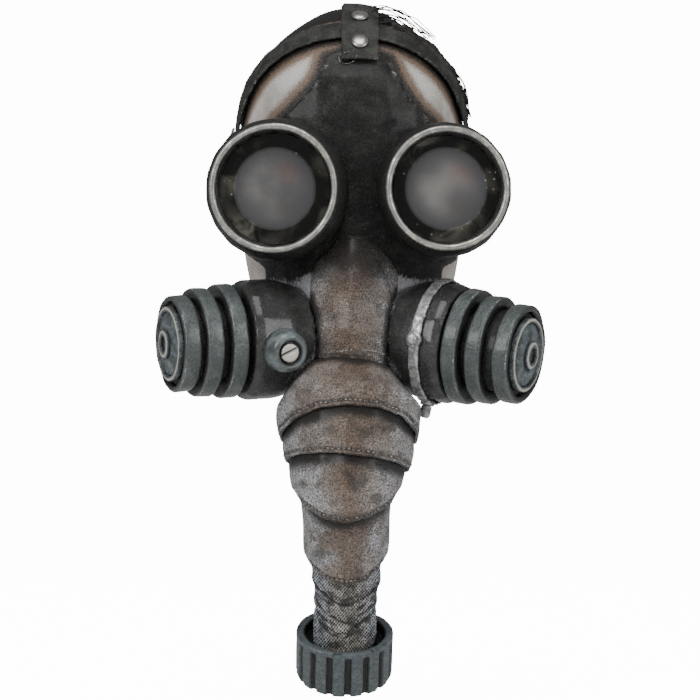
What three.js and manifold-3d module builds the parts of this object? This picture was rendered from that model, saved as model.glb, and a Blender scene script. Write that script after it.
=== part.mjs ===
// A costume mask in the style of a gas mask: a pale latex face under a black rubber facepiece, with goggles,
// two side canisters, a leather trunk ending in a cloth hose and a ribbed cap, and a strap harness.
// Millimetres. The origin is at the inside of the crown, +Z is up and the face looks to -Y.
// Left and right are the viewer's, so left is -X.

import * as THREE from "three";
import { mergeVertices } from "three/addons/utils/BufferGeometryUtils.js";
import Module from "manifold-3d";

const wasm = await Module();
wasm.setup();

// How many sides round pieces have
const canisterSides = 16;
const rimSides = 20;
const rimTubeSides = 5;
const rivetSides = 10;

// Clearance between neighbouring pieces, and the thickness of each sheet material
const gap = 0.3;
const latexWall = 2.5;
const rubberWall = 2.5;
const leatherWall = 2.7;
const strapThickness = 2.3;

// How far a cut surface may move when faces that are almost flat to each other are joined
const flatEnough = 0.12;

// Head form, from the top of the crown to the jaw
const headHeight = 294;
const headHalfWidth = 87;
const headCentreX = -3.6;
const headFront = 89;
const headBack = 95;
const headRoundness = 2.25;
const muzzleDepth = 47;
const muzzleHalfWidth = 38;
const crownTop = latexWall;

// Where the latex shell ends behind: over the crown, behind the ears and at the jaw
const crownEdgeY = 62;
const earEdgeY = 26;
const jawEdgeY = -8;

// How far cutting solids reach past the head: to each side, in front, behind, and down and up behind
const cutterHalfWidth = 150;
const cutterFront = -220;
const cutterBack = 200;
const cutterDown = -165;
const cutterUp = 160;
// How far back the rubber and the nose panel may wrap round the head
const rubberBack = -34;
const panelBack = -60;

// Goggles
const eyeLevel = -143;
const rimPlaneY = -122;
const goggleYaw = 7;
const rimTubeRadius = 2.5;
const cupDepth = 80;
const cupBackRadius = 27;
const lensSetback = 8;
const lensThickness = 1.4;
const lensHoleRadius = 27.8;
const eyeHoleRadius = 23;

// Canisters
const coreRadius = 31;
const canisterBodyRadius = 44.5;
const canisterBodyStart = 52;
const canisterBodyLength = 46;
const endRingRadius = 27.2;
const endDiscRadius = 23.4;
const eyeletRadius = 10.4;
const eyeletHoleRadius = 6;

// Cap at the end of the hose
const capRadius = 35.5;
const capHeight = 35;
const capRibs = 16;
const capRibDepth = 2.6;
const capDishRadius = 29;
const capDishDepth = 8;

// Trunk and hose
const trunkTop = -111;
const trunkSway = -9;
const trunkForward = -121;
const trunkDrop = 258;
const trunkHalfWidth = 54;
const hoseRadius = 25.4;
const hoseWall = 2;
const hoseSag = 4;
const hoseDepthShare = 0.87;
const hoseStart = 0.531 * trunkDrop;
const capStart = 0.839 * trunkDrop;
const hoseInCap = 9.5;
const hoseEndFull = 0.89;

// Straps
const bandWidth = 19;
const tabWidth = 27;
const rivetRadius = 6.4;
const rivetHeight = 2.8;

// The two goggles as made: the left one is a little larger
const goggles = {
  left: { side: -1, x: -60.5, rim: 44.4, flare: 53 },
  right: { side: 1, x: 65.5, rim: 42.7, flare: 50 },
};

// Head form as shares: how far down from the crown, half width, front and back, and how far the muzzle stands out
const headRows = [
  { down: 0.006, width: 0.16, front: 0.16, back: 0.18, muzzle: 0 },
  { down: 0.022, width: 0.3, front: 0.32, back: 0.35, muzzle: 0 },
  { down: 0.05, width: 0.45, front: 0.485, back: 0.525, muzzle: 0 },
  { down: 0.09, width: 0.625, front: 0.66, back: 0.68, muzzle: 0 },
  { down: 0.145, width: 0.81, front: 0.82, back: 0.82, muzzle: 0 },
  { down: 0.215, width: 0.928, front: 0.935, back: 0.93, muzzle: 0 },
  { down: 0.31, width: 0.985, front: 0.995, back: 0.99, muzzle: 0 },
  { down: 0.43, width: 1.0, front: 0.99, back: 1.0, muzzle: 0 },
  { down: 0.545, width: 0.98, front: 0.955, back: 0.98, muzzle: 0.01 },
  { down: 0.605, width: 0.96, front: 0.94, back: 0.95, muzzle: 0.13 },
  { down: 0.66, width: 0.94, front: 0.93, back: 0.91, muzzle: 0.33 },
  { down: 0.72, width: 0.9, front: 0.915, back: 0.86, muzzle: 0.55 },
  { down: 0.78, width: 0.84, front: 0.89, back: 0.8, muzzle: 0.77 },
  { down: 0.84, width: 0.76, front: 0.865, back: 0.74, muzzle: 0.94 },
  { down: 0.9, width: 0.69, front: 0.83, back: 0.68, muzzle: 1.0 },
  { down: 0.95, width: 0.63, front: 0.8, back: 0.63, muzzle: 0.92 },
  { down: 1.0, width: 0.56, front: 0.76, back: 0.58, muzzle: 0.7 },
];
const headSegmentsFront = 12;
const headSegmentsBack = 8;

// Front view outlines on the face: across as a share of the head's half width, up from the eye level as a
// share of its height
const facepieceOutline = [
  { across: -0.126, up: 0.357 },
  { across: -0.264, up: 0.342 },
  { across: -0.299, up: 0.306 },
  { across: -0.368, up: 0.265 },
  { across: -0.529, up: 0.214 },
  { across: -0.69, up: 0.17 },
  { across: -0.851, up: 0.095 },
  { across: -1.057, up: 0.054 },
  { across: -1.103, up: -0.068 },
  { across: -0.966, up: -0.15 },
  { across: -0.782, up: -0.19 },
  { across: -0.77, up: -0.34 },
  { across: -0.575, up: -0.456 },
  { across: 0.575, up: -0.456 },
  { across: 0.724, up: -0.34 },
  { across: 0.736, up: -0.19 },
  { across: 0.966, up: -0.15 },
  { across: 1.103, up: -0.068 },
  { across: 1.057, up: 0.054 },
  { across: 0.851, up: 0.095 },
  { across: 0.69, up: 0.163 },
  { across: 0.54, up: 0.204 },
  { across: 0.414, up: 0.252 },
  { across: 0.333, up: 0.299 },
  { across: 0.276, up: 0.34 },
  { across: 0.149, up: 0.357 },
];
const nosePanelOutline = [
  { across: -0.391, up: -0.218 },
  { across: -0.351, up: -0.18 },
  { across: -0.253, up: -0.16 },
  { across: -0.172, up: -0.122 },
  { across: -0.034, up: -0.117 },
  { across: 0.092, up: -0.126 },
  { across: 0.195, up: -0.146 },
  { across: 0.287, up: -0.173 },
  { across: 0.351, up: -0.207 },
  { across: 0.356, up: -0.265 },
  { across: 0.328, up: -0.296 },
  { across: 0.282, up: -0.337 },
  { across: 0.264, up: -0.384 },
  { across: 0.241, up: -0.432 },
  { across: 0.103, up: -0.413 },
  { across: -0.034, up: -0.41 },
  { across: -0.172, up: -0.415 },
  { across: -0.322, up: -0.435 },
  { across: -0.333, up: -0.381 },
  { across: -0.374, up: -0.333 },
  { across: -0.394, up: -0.272 },
];

// Two canisters as worn: the middle of the end disc, and how the axis turns to the viewer and drops outward
const canisters = {
  left: { side: -1, x: -136, y: -115, up: -112.2, yaw: 22, drop: 3 },
  right: { side: 1, x: 122.8, y: -117, up: -120.2, yaw: 26, drop: 8 },
};

// Bands round each canister, measured inward from its end disc
const bandRows = {
  left: [
    { start: 1.2, width: 12.4, radius: 35.2 },
    { start: 17, width: 12.4, radius: 39.6 },
    { start: 35.6, width: 11.8, radius: 41.9 },
  ],
  right: [
    { start: 0.8, width: 12, radius: 36.2 },
    { start: 21.2, width: 11.6, radius: 39.4 },
    { start: 38.6, width: 11.6, radius: 42.4 },
  ],
};

// Middle line of the trunk and hose as it hangs, as shares of how far it sways to the left, stands out and drops
const trunkLine = [
  { aside: 0.222, forward: 0.769, down: 0 },
  { aside: 0.444, forward: 0.818, down: 0.078 },
  { aside: 0.667, forward: 0.868, down: 0.155 },
  { aside: 0.667, forward: 0.95, down: 0.291 },
  { aside: 0.822, forward: 0.983, down: 0.368 },
  { aside: 0.867, forward: 1, down: 0.504 },
  { aside: 0.867, forward: 0.967, down: 0.659 },
  { aside: 0.933, forward: 0.909, down: 0.756 },
  { aside: 1, forward: 0.831, down: 0.845 },
  { aside: 1, forward: 0.707, down: 1 },
];

// Sleeves of the trunk. Where each begins and ends in front, at the sides and behind, as shares of the drop.
// Half widths where it is tucked in, at its fullest and at the hem, as shares of the trunk's half width.
const sleeveRows = [
  { name: "trunk_flap_1", frontStart: 0.069, sideStart: 0.078, backStart: 0.178, frontHem: 0.229, sideHem: 0.287,
    tucked: 0.574, full: 1, hem: 0.941, fullAt: 0.62, depth: 0.86 },
  { name: "trunk_flap_2", frontStart: 0.19, sideStart: 0.248, backStart: 0.248, frontHem: 0.351, sideHem: 0.362,
    tucked: 0.844, full: 0.904, hem: 0.856, fullAt: 0.62, depth: 0.86 },
  { name: "trunk_flap_3", frontStart: 0.314, sideStart: 0.326, backStart: 0.326, frontHem: 0.512, sideHem: 0.399,
    tucked: 0.77, full: 0.804, hem: 0.759, fullAt: 0.35, depth: 0.84 },
  { name: "trunk_flap_4", frontStart: 0.419, sideStart: 0.333, backStart: 0.333, frontHem: 0.671, sideHem: 0.578,
    tucked: 0.707, full: 0.615, hem: 0.574, fullAt: 0.5, depth: 0.86 },
];
const sleeveSegments = 14;
const sleeveSteps = [0, 0.3, 0.62, 0.88, 1];

// Hose folds: a share of the way from its hidden top to its end in the cap, how full the cloth is there as a
// share of the hose's radius, and how far the fold sags in front
const hoseRows = [
  { at: 0, full: 1.126, sag: 0 },
  { at: 0.112, full: 1.075, sag: 0 },
  { at: 0.258, full: 1.016, sag: 1 },
  { at: 0.427, full: 1, sag: 1 },
  { at: 0.506, full: 0.913, sag: 1 },
  { at: 0.596, full: 0.937, sag: 1 },
  { at: 0.663, full: 0.858, sag: 1 },
  { at: 0.753, full: 0.929, sag: 1 },
  { at: 1, full: hoseEndFull, sag: 0 },
];

function radians(degrees) {
  return degrees * Math.PI / 180;
}

// Smooth value of one column of a table at a place between its rows
function columnAt(rows, key, column, place) {
  const last = rows.length - 1;
  if (place <= rows[0][key]) return rows[0][column];
  if (place >= rows[last][key]) return rows[last][column];
  let i = 0;
  while (rows[i + 1][key] < place) i += 1;
  const a = rows[Math.max(i - 1, 0)];
  const b = rows[i];
  const c = rows[i + 1];
  const d = rows[Math.min(i + 2, last)];
  const span = c[key] - b[key];
  const slopeB = (c[column] - a[column]) / (c[key] - a[key]) * span;
  const slopeC = (d[column] - b[column]) / (d[key] - b[key]) * span;
  const t = (place - b[key]) / span;
  const t2 = t * t;
  const t3 = t2 * t;
  return (2 * t3 - 3 * t2 + 1) * b[column] + (t3 - 2 * t2 + t) * slopeB
    + (3 * t2 - 2 * t3) * c[column] + (t3 - t2) * slopeC;
}

function geometryFrom(points, faces) {
  const geometry = new THREE.BufferGeometry();
  geometry.setAttribute("position", new THREE.Float32BufferAttribute(points.flatMap((p) => [p.x, p.y, p.z]), 3));
  geometry.setIndex(faceOut(points, faces).flat());
  return geometry;
}

// Turn all faces over if they enclose a negative volume
function faceOut(points, faces) {
  let volume = 0;
  for (const [a, b, c] of faces) {
    volume += points[a].dot(new THREE.Vector3().crossVectors(points[b], points[c]));
  }
  return volume < 0 ? faces.map(([a, b, c]) => [a, c, b]) : faces;
}

// Skin over a row of closed loops that have the same number of points; wrapped, or with a cap at each end
function skin(loops, wrapped) {
  const around = loops[0].length;
  const points = loops.flat();
  const faces = [];
  const bays = wrapped ? loops.length : loops.length - 1;
  for (let i = 0; i < bays; i += 1) {
    const next = (i + 1) % loops.length;
    for (let k = 0; k < around; k += 1) {
      const k2 = (k + 1) % around;
      faces.push([i * around + k, next * around + k, next * around + k2]);
      faces.push([i * around + k, next * around + k2, i * around + k2]);
    }
  }
  if (!wrapped) {
    const far = (loops.length - 1) * around;
    for (let k = 1; k < around - 1; k += 1) {
      faces.push([0, k, k + 1]);
      faces.push([far, far + k + 1, far + k]);
    }
  }
  return geometryFrom(points, faces);
}

// The same body with shared corners, no empty faces, and its faces turned out
function tidied(geometry) {
  const clean = geometry.clone();
  clean.deleteAttribute("normal");
  clean.deleteAttribute("uv");
  const merged = mergeVertices(clean, 1e-4);
  const index = merged.index.array;
  const place = merged.attributes.position;
  const points = [];
  for (let i = 0; i < place.count; i += 1) points.push(new THREE.Vector3().fromBufferAttribute(place, i));
  const faces = [];
  for (let i = 0; i < index.length; i += 3) {
    const [a, b, c] = [index[i], index[i + 1], index[i + 2]];
    if (a !== b && b !== c && a !== c) faces.push([a, b, c]);
  }
  return geometryFrom(points, faces);
}

function toSolid(geometry) {
  const clean = tidied(geometry);
  return new wasm.Manifold(new wasm.Mesh({
    numProp: 3,
    vertProperties: new Float32Array(clean.attributes.position.array),
    triVerts: new Uint32Array(clean.index.array),
  }));
}

function toGeometry(solid) {
  const mesh = largestPart(solid).simplify(flatEnough).getMesh();
  const geometry = new THREE.BufferGeometry();
  geometry.setAttribute("position", new THREE.Float32BufferAttribute(mesh.vertProperties, 3));
  geometry.setIndex(Array.from(mesh.triVerts));
  return geometry;
}

function largestPart(solid) {
  const parts = solid.decompose();
  parts.sort((a, b) => b.volume() - a.volume());
  return parts[0];
}

// Solid of revolution about +Y from rows of radius and height, moved to its place
function turned(rows, segments, matrix) {
  const points = rows.map(([radius, height]) => new THREE.Vector2(radius, height));
  const geometry = new THREE.LatheGeometry(points, segments);
  return tidied(geometry.applyMatrix4(matrix));
}

function closedRing(rows) {
  return [...rows, rows[0]];
}

// Straight bar through a front view outline, from one depth to another
function outlineBar(outline, frontY, backY) {
  const points = outline.map((p) => new THREE.Vector2(p.across * headHalfWidth, eyeLevel + p.up * headHeight));
  const shape = new THREE.Shape(points);
  const geometry = new THREE.ExtrudeGeometry(shape, { depth: backY - frontY, bevelEnabled: false });
  geometry.rotateX(Math.PI / 2);
  geometry.translate(0, backY, 0);
  return toSolid(geometry);
}

// The muzzle stands out most in the middle and fades to nothing over the cheeks
function muzzleAt(x, down) {
  const depth = muzzleDepth * columnAt(headRows, "down", "muzzle", down);
  return depth * Math.exp(-Math.pow(Math.abs(x) / muzzleHalfWidth, 2.6));
}

function headPoint(down, angle) {
  const power = 2 / headRoundness;
  const across = Math.sign(Math.cos(angle)) * Math.pow(Math.abs(Math.cos(angle)), power);
  const along = Math.sign(Math.sin(angle)) * Math.pow(Math.abs(Math.sin(angle)), power);
  const x = headHalfWidth * columnAt(headRows, "down", "width", down) * across;
  if (along >= 0) {
    return new THREE.Vector3(headCentreX + x, headBack * columnAt(headRows, "down", "back", down) * along,
      crownTop - headHeight * down);
  }
  const front = headFront * columnAt(headRows, "down", "front", down);
  return new THREE.Vector3(headCentreX + x, front * along - muzzleAt(x, down) * Math.min(1, -along * 2),
    crownTop - headHeight * down);
}

// Direction square to the head form at one of its points
function headNormal(down, angle) {
  const stepDown = 0.004;
  const stepAngle = 0.02;
  const low = Math.min(down + stepDown, 1);
  const high = Math.max(down - stepDown, headRows[0].down);
  const down1 = headPoint(low, angle).sub(headPoint(high, angle));
  const around = headPoint(down, angle + stepAngle).sub(headPoint(down, angle - stepAngle));
  return down1.cross(around).normalize();
}

function headAngles() {
  const angles = [];
  for (let i = 0; i < headSegmentsFront; i += 1) angles.push(Math.PI + Math.PI * i / headSegmentsFront);
  for (let i = 0; i < headSegmentsBack; i += 1) angles.push(Math.PI * i / headSegmentsBack);
  return angles;
}

// The head form as a closed solid, grown outward by some millimetres
function headSolid(grow) {
  const angles = headAngles();
  const bottom = 4 + Math.max(0, -grow) * 4;
  const loops = headRows.map((row) => angles.map((angle) => {
    const point = headPoint(row.down, angle);
    return point.addScaledVector(headNormal(row.down, angle), grow);
  }));
  loops.push(loops[loops.length - 1].map((p) => new THREE.Vector3(p.x, p.y, p.z - bottom)));
  const points = loops.flat();
  const around = angles.length;
  const top = points.push(new THREE.Vector3(headCentreX, 0, crownTop + grow)) - 1;
  const base = points.push(new THREE.Vector3(headCentreX, -20, loops[loops.length - 1][0].z)) - 1;
  const faces = [];
  for (let k = 0; k < around; k += 1) {
    const k2 = (k + 1) % around;
    faces.push([top, k, k2]);
    for (let i = 0; i < loops.length - 1; i += 1) {
      faces.push([i * around + k, (i + 1) * around + k, (i + 1) * around + k2]);
      faces.push([i * around + k, (i + 1) * around + k2, i * around + k2]);
    }
    const last = (loops.length - 1) * around;
    faces.push([base, last + k2, last + k]);
  }
  return toSolid(geometryFrom(points, faces));
}

// Where a ray from inside leaves the head form, lifted off it by some millimetres
function surfacePoint(origin, direction, lift) {
  let near = 0;
  let far = 400;
  for (let i = 0; i < 40; i += 1) {
    const middle = (near + far) / 2;
    if (outside(origin.clone().addScaledVector(direction, middle))) far = middle;
    else near = middle;
  }
  const point = origin.clone().addScaledVector(direction, near);
  return point.addScaledVector(outwardAt(point), lift);
}

function outside(point) {
  return formValue(point) > 0;
}

// Below zero inside the head form, above zero outside it
function formValue(point) {
  const down = (crownTop - point.z) / headHeight;
  if (down <= 0) return 1 - down;
  const inCap = down < headRows[0].down;
  const share = inCap ? Math.sqrt(down / headRows[0].down) : 1;
  const width = headHalfWidth * columnAt(headRows, "down", "width", down) * share;
  const column = point.y < 0 ? "front" : "back";
  const depth = (point.y < 0 ? headFront : headBack) * columnAt(headRows, "down", column, down) * share;
  const x = point.x - headCentreX;
  const muzzle = point.y < 0 ? muzzleAt(x, down) : 0;
  const y = point.y < 0 ? Math.min(0, point.y + muzzle) : point.y;
  return Math.pow(Math.abs(x) / width, headRoundness) + Math.pow(Math.abs(y) / depth, headRoundness) - 1;
}

function outwardAt(point) {
  const step = 0.5;
  const slope = (axis) => {
    const ahead = point.clone();
    const behind = point.clone();
    ahead[axis] += step;
    behind[axis] -= step;
    return formValue(ahead) - formValue(behind);
  };
  return new THREE.Vector3(slope("x"), slope("y"), slope("z")).normalize();
}

// A strap laid on the head form. Its middle line is where a plane through a centre meets the form;
// it runs from one angle to another in that plane and its edges are half a width to each side.
// It may stand off more in the middle than at its ends.
function strapOnHead(plane, fromAngle, toAngle, stations, width, endLift, middleLift) {
  const loops = [];
  const thickness = strapThickness;
  for (let i = 0; i <= stations; i += 1) {
    const lift = endLift + (middleLift - endLift) * Math.sin(Math.PI * i / stations);
    const angle = radians(fromAngle + (toAngle - fromAngle) * i / stations);
    const direction = plane.across.clone().multiplyScalar(Math.cos(angle))
      .addScaledVector(plane.up, Math.sin(angle));
    const square = plane.across.clone().cross(plane.up).normalize();
    const share = [-0.5, 0, 0.5];
    const under = share.map((s) => surfacePoint(
      plane.centre.clone().addScaledVector(square, s * width), direction, lift));
    const over = share.map((s) => surfacePoint(
      plane.centre.clone().addScaledVector(square, s * width), direction, lift + thickness));
    loops.push([...under, ...over.reverse()]);
  }
  return skin(loops, false);
}

// Plane of the brow band: an arch from temple to temple that leans forward as it rises
const bandPlane = {
  centre: new THREE.Vector3(headCentreX, -6, eyeLevel + 34),
  across: new THREE.Vector3(1, 0, 0),
  up: new THREE.Vector3(0, -0.6, 1).normalize(),
};
// Plane of the crown strap: down the middle of the head from front to back
const crownPlane = {
  centre: new THREE.Vector3(2, 0, eyeLevel + 49),
  across: new THREE.Vector3(0, -1, 0),
  up: new THREE.Vector3(0, 0, 1),
};
// Plane of the back strap: level, behind the head below the widest part
const backPlane = {
  centre: new THREE.Vector3(headCentreX, 0, eyeLevel + 21),
  across: new THREE.Vector3(1, 0, 0),
  up: new THREE.Vector3(0, 1, 0),
};

function eyeMatrix(eye) {
  const side = eye.side;
  const out = new THREE.Vector3(side * Math.sin(radians(goggleYaw)), -Math.cos(radians(goggleYaw)), 0);
  const up = new THREE.Vector3(0, 0, 1);
  const basis = new THREE.Matrix4().makeBasis(new THREE.Vector3().crossVectors(out, up), out, up);
  return new THREE.Matrix4().makeTranslation(eye.x, rimPlaneY, eyeLevel)
    .multiply(basis);
}

// Goggle cup: a bowl that widens behind the rim and closes on the temple, with a flange that carries the lens.
// Heights are negative going back from the rim plane.
function eyeCup(eye, headCut) {
  const lensRoom = eye.rim - rimTubeRadius - 0.2;
  const seat = -lensSetback - lensThickness - gap;
  const rows = closedRing([
    [lensRoom, -rimTubeRadius - gap],
    [eye.rim + 2.4, -rimTubeRadius - gap - 1],
    [eye.flare, -14],
    [eye.flare - 0.5, -28],
    [eye.flare - 8, -49],
    [cupBackRadius, -cupDepth],
    [cupBackRadius - 3.5, 1 - cupDepth],
    [eye.flare - 11.5, -48],
    [eye.flare - 4, -27],
    [eye.flare - 4, -15],
    [lensHoleRadius, seat - 3],
    [lensHoleRadius, seat],
    [lensRoom, seat],
  ]);
  return toGeometry(toSolid(turned(rows, 18, eyeMatrix(eye))).subtract(headCut));
}

function eyeRim(eye) {
  const rows = [];
  for (let i = 0; i < rimTubeSides; i += 1) {
    const angle = Math.PI * 2 * i / rimTubeSides;
    rows.push([eye.rim + rimTubeRadius * Math.cos(angle), rimTubeRadius * Math.sin(angle)]);
  }
  return turned(closedRing(rows), rimSides, eyeMatrix(eye));
}

function eyeLens(eye) {
  const edge = eye.rim - rimTubeRadius - 0.8;
  const back = -lensSetback - lensThickness;
  const rows = [[0, -lensSetback], [edge, -lensSetback], [edge, back], [0, back]];
  return turned(rows, 18, eyeMatrix(eye));
}

function eyeHole(eye) {
  const rows = [[0, 0], [eyeHoleRadius, 0], [eyeHoleRadius, -110], [0, -110]];
  return toSolid(turned(rows, 14, eyeMatrix(eye)));
}

// Canister frame: +Y runs out along its axis from the end disc, +Z is the side that faces the viewer
function canisterMatrix(place) {
  const yaw = radians(place.yaw);
  const drop = radians(place.drop);
  const out = new THREE.Vector3(
    place.side * Math.cos(yaw) * Math.cos(drop), -Math.sin(yaw) * Math.cos(drop), -Math.sin(drop));
  const front = new THREE.Vector3(-place.side * Math.sin(yaw), -Math.cos(yaw), 0);
  const up = new THREE.Vector3().crossVectors(out, front).normalize();
  const basis = new THREE.Matrix4().makeBasis(up, out, front);
  return new THREE.Matrix4().makeTranslation(place.x, place.y, eyeLevel + place.up).multiply(basis);
}

// Outer side of the canister body, as rows of radius and height, grown outward by some millimetres
function bodyOutline(grow) {
  const start = -canisterBodyStart;
  const r = canisterBodyRadius + grow;
  return [
    [r - 2.4, start + grow],
    [r, start - 5],
    [r, start - 28],
    [r - 7, start - canisterBodyLength - 2 - 4 * grow],
  ];
}

function canisterBodySolid(place, grow) {
  const rows = bodyOutline(grow);
  const first = rows[0];
  const last = rows[rows.length - 1];
  return toSolid(turned([[0, first[1]], ...rows, [0, last[1]]], canisterSides, canisterMatrix(place)));
}

function canisterBody(place, headCut) {
  const start = -canisterBodyStart;
  const inner = [
    [canisterBodyRadius - 10, start - canisterBodyLength - 2],
    [canisterBodyRadius - 3, start - 27],
    [canisterBodyRadius - 3.2, start - 6],
    [coreRadius + gap, start - 5],
    [coreRadius + gap, start],
  ];
  const rows = closedRing([...bodyOutline(0), ...inner]);
  return toGeometry(toSolid(turned(rows, canisterSides, canisterMatrix(place))).subtract(headCut));
}

// Foam core that carries the bands and closes the outer end of the body
function canisterCore(place) {
  const end = -canisterBodyStart - 9;
  const rows = [[0, -4], [coreRadius, -4], [coreRadius, end], [0, end]];
  return turned(rows, canisterSides, canisterMatrix(place));
}

function canisterBand(place, row) {
  const inner = coreRadius + gap;
  const start = -row.start;
  const rows = closedRing([
    [inner, start],
    [row.radius - 2.2, start],
    [row.radius, start - 2.4],
    [row.radius, start - row.width + 2.4],
    [row.radius - 2.2, start - row.width],
    [inner, start - row.width],
  ]);
  return turned(rows, canisterSides, canisterMatrix(place));
}

function canisterEndRing(place) {
  const inner = endDiscRadius + gap;
  const rows = closedRing([
    [inner, -3.4],
    [endRingRadius, -3.4],
    [endRingRadius - 0.6, 1.6],
    [inner, 1.6],
  ]);
  return turned(rows, canisterSides, canisterMatrix(place));
}

function canisterEndDisc(place) {
  const rows = closedRing([
    [eyeletHoleRadius - 1, 2.6],
    [eyeletRadius + 1, 2.6],
    [endDiscRadius, 0],
    [endDiscRadius, -3.4],
    [eyeletHoleRadius - 1, -3.4],
  ]);
  return turned(rows, canisterSides, canisterMatrix(place));
}

function canisterEyelet(place) {
  const seat = 2.6 + gap;
  const rows = closedRing([
    [eyeletHoleRadius, seat],
    [eyeletRadius, seat],
    [eyeletRadius - 1.4, seat + 2],
    [eyeletHoleRadius + 0.4, seat + 2],
  ]);
  return turned(rows, 16, canisterMatrix(place));
}

// Frame on the front of a canister body: +Y stands out from it, at a distance in from the end disc
function onBodyMatrix(place, inward, turn, radius) {
  const spin = new THREE.Matrix4().makeRotationY(radians(turn));
  const lie = new THREE.Matrix4().makeRotationX(Math.PI / 2);
  return canisterMatrix(place)
    .multiply(new THREE.Matrix4().makeTranslation(0, -inward, 0))
    .multiply(spin)
    .multiply(lie)
    .multiply(new THREE.Matrix4().makeTranslation(0, radius, 0));
}

const knobPlace = { inward: 73, turn: -11, base: 14.6, top: 11.4, height: 10 };

function leftKnob() {
  const matrix = onBodyMatrix(canisters.left, knobPlace.inward, knobPlace.turn, canisterBodyRadius);
  const rows = [
    [0, -8],
    [knobPlace.base + 1.5, -8],
    [knobPlace.base + 0.5, 1.5],
    [knobPlace.top + 1.4, knobPlace.height - 2.4],
    [knobPlace.top, knobPlace.height - 0.6],
    [knobPlace.top - 2.5, knobPlace.height],
    [7.4, knobPlace.height],
    [7.2, knobPlace.height - 1.6],
    [0, knobPlace.height - 1.6],
  ];
  return toGeometry(toSolid(turned(rows, 16, matrix)).subtract(canisterBodySolid(canisters.left, gap)));
}

// Slotted screw let into the top of the knob
function leftScrew() {
  const matrix = onBodyMatrix(canisters.left, knobPlace.inward, knobPlace.turn, canisterBodyRadius);
  const seat = knobPlace.height - 1.6 + gap;
  const head = turned([[0, seat], [6.8, seat], [6.8, seat + 1.8], [5.4, seat + 2.8], [0, seat + 3]], 14, matrix);
  const slot = new THREE.BoxGeometry(16, 2, 2);
  slot.rotateY(radians(-65));
  slot.translate(0, seat + 3.2, 0);
  slot.applyMatrix4(matrix);
  return toGeometry(toSolid(head).subtract(toSolid(slot)));
}

const clampPlace = { inward: 69.5, width: 8, thickness: 2.2 };

// Clamp round the right canister body, with two lugs where its bolts pass
function rightClamp() {
  const inner = canisterBodyRadius + gap;
  const outer = inner + clampPlace.thickness;
  const near = -clampPlace.inward + clampPlace.width / 2;
  const far = near - clampPlace.width;
  const ring = turned(closedRing([[inner, near], [outer, near], [outer, far], [inner, far]]), canisterSides,
    canisterMatrix(canisters.right));
  return toGeometry(toSolid(ring).add(toSolid(boltLug(0))).add(toSolid(boltLug(1))).subtract(
    canisterBodySolid(canisters.right, gap)));
}

const boltRows = [
  { name: "clamp_bolt", turn: -2, radius: 4.4, length: 5 },
  { name: "clamp_stud", turn: 79, radius: 4.2, length: 9 },
];

function boltFrame(i) {
  const outer = canisterBodyRadius + gap + clampPlace.thickness;
  return onBodyMatrix(canisters.right, clampPlace.inward, boltRows[i].turn, outer);
}

function boltLug(i) {
  const rows = [[0, -3.5], [boltRows[i].radius + 1.6, -3.5], [boltRows[i].radius + 1.6, 1], [0, 1]];
  return turned(rows, 8, boltFrame(i));
}

function clampBolt(i) {
  const row = boltRows[i];
  const seat = 1 + gap;
  const rows = [[0, seat], [row.radius, seat], [row.radius, seat + row.length - 1.4],
    [row.radius - 1.6, seat + row.length], [0, seat + row.length]];
  return turned(rows, 12, boltFrame(i));
}

// Middle line of the trunk as an even curve, with its length in millimetres as the place
const trunkCurve = new THREE.CatmullRomCurve3(trunkLine.map((p) => new THREE.Vector3(
  p.aside * trunkSway, p.forward * trunkForward, eyeLevel + trunkTop - p.down * trunkDrop)));
const trunkLength = trunkCurve.getLength();

function trunkFrame(place) {
  const share = Math.min(1, Math.max(0, place / trunkLength));
  const centre = trunkCurve.getPointAt(share);
  const along = trunkCurve.getTangentAt(share);
  const front = new THREE.Vector3().crossVectors(new THREE.Vector3(1, 0, 0), along).normalize();
  if (front.y > 0) front.negate();
  const side = new THREE.Vector3().crossVectors(along, front).normalize();
  if (side.x < 0) side.negate();
  return { centre, along, front, side };
}

function trunkPoint(place, angle, halfWidth, halfDepth) {
  const frame = trunkFrame(place);
  return frame.centre
    .addScaledVector(frame.front, Math.cos(angle) * halfDepth)
    .addScaledVector(frame.side, Math.sin(angle) * halfWidth);
}

// A place that changes smoothly from the front to the sides, and from there to the back
function edgeAt(front, side, back, angle) {
  const facing = Math.cos(angle);
  if (facing >= 0) return side + (front - side) * facing;
  return side + (back - side) * -facing;
}

function sleeveHalfWidth(row, share) {
  const rows = [
    { at: 0, half: row.tucked },
    { at: row.fullAt, half: row.full },
    { at: 1, half: row.hem },
  ];
  return columnAt(rows, "at", "half", share) * trunkHalfWidth;
}

function sleeveLoop(row, angle, grow, wall) {
  const start = edgeAt(row.frontStart, row.sideStart, row.backStart, angle) * trunkDrop;
  const hem = edgeAt(row.frontHem, row.sideHem, row.sideHem, angle) * trunkDrop;
  const outer = sleeveSteps.map((share) => {
    const half = sleeveHalfWidth(row, share) + grow;
    return trunkPoint(start + (hem - start) * share, angle, half, half * row.depth);
  });
  const inner = sleeveSteps.map((share) => {
    const half = sleeveHalfWidth(row, share) - wall;
    return trunkPoint(start + (hem - start) * share, angle, half, half * row.depth);
  });
  return [...outer, ...inner.reverse()];
}

function sleeveSolid(row) {
  const loops = [];
  for (let i = 0; i < sleeveSegments; i += 1) {
    loops.push(sleeveLoop(row, Math.PI * 2 * i / sleeveSegments, 0, leatherWall));
  }
  return toSolid(skin(loops, true));
}

// The first sleeve filled in and grown by the clearance: what it takes out of the face behind it
const faceMargin = 2.5;
const panelMargin = 0.7;
const cutterBelow = 6;

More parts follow.
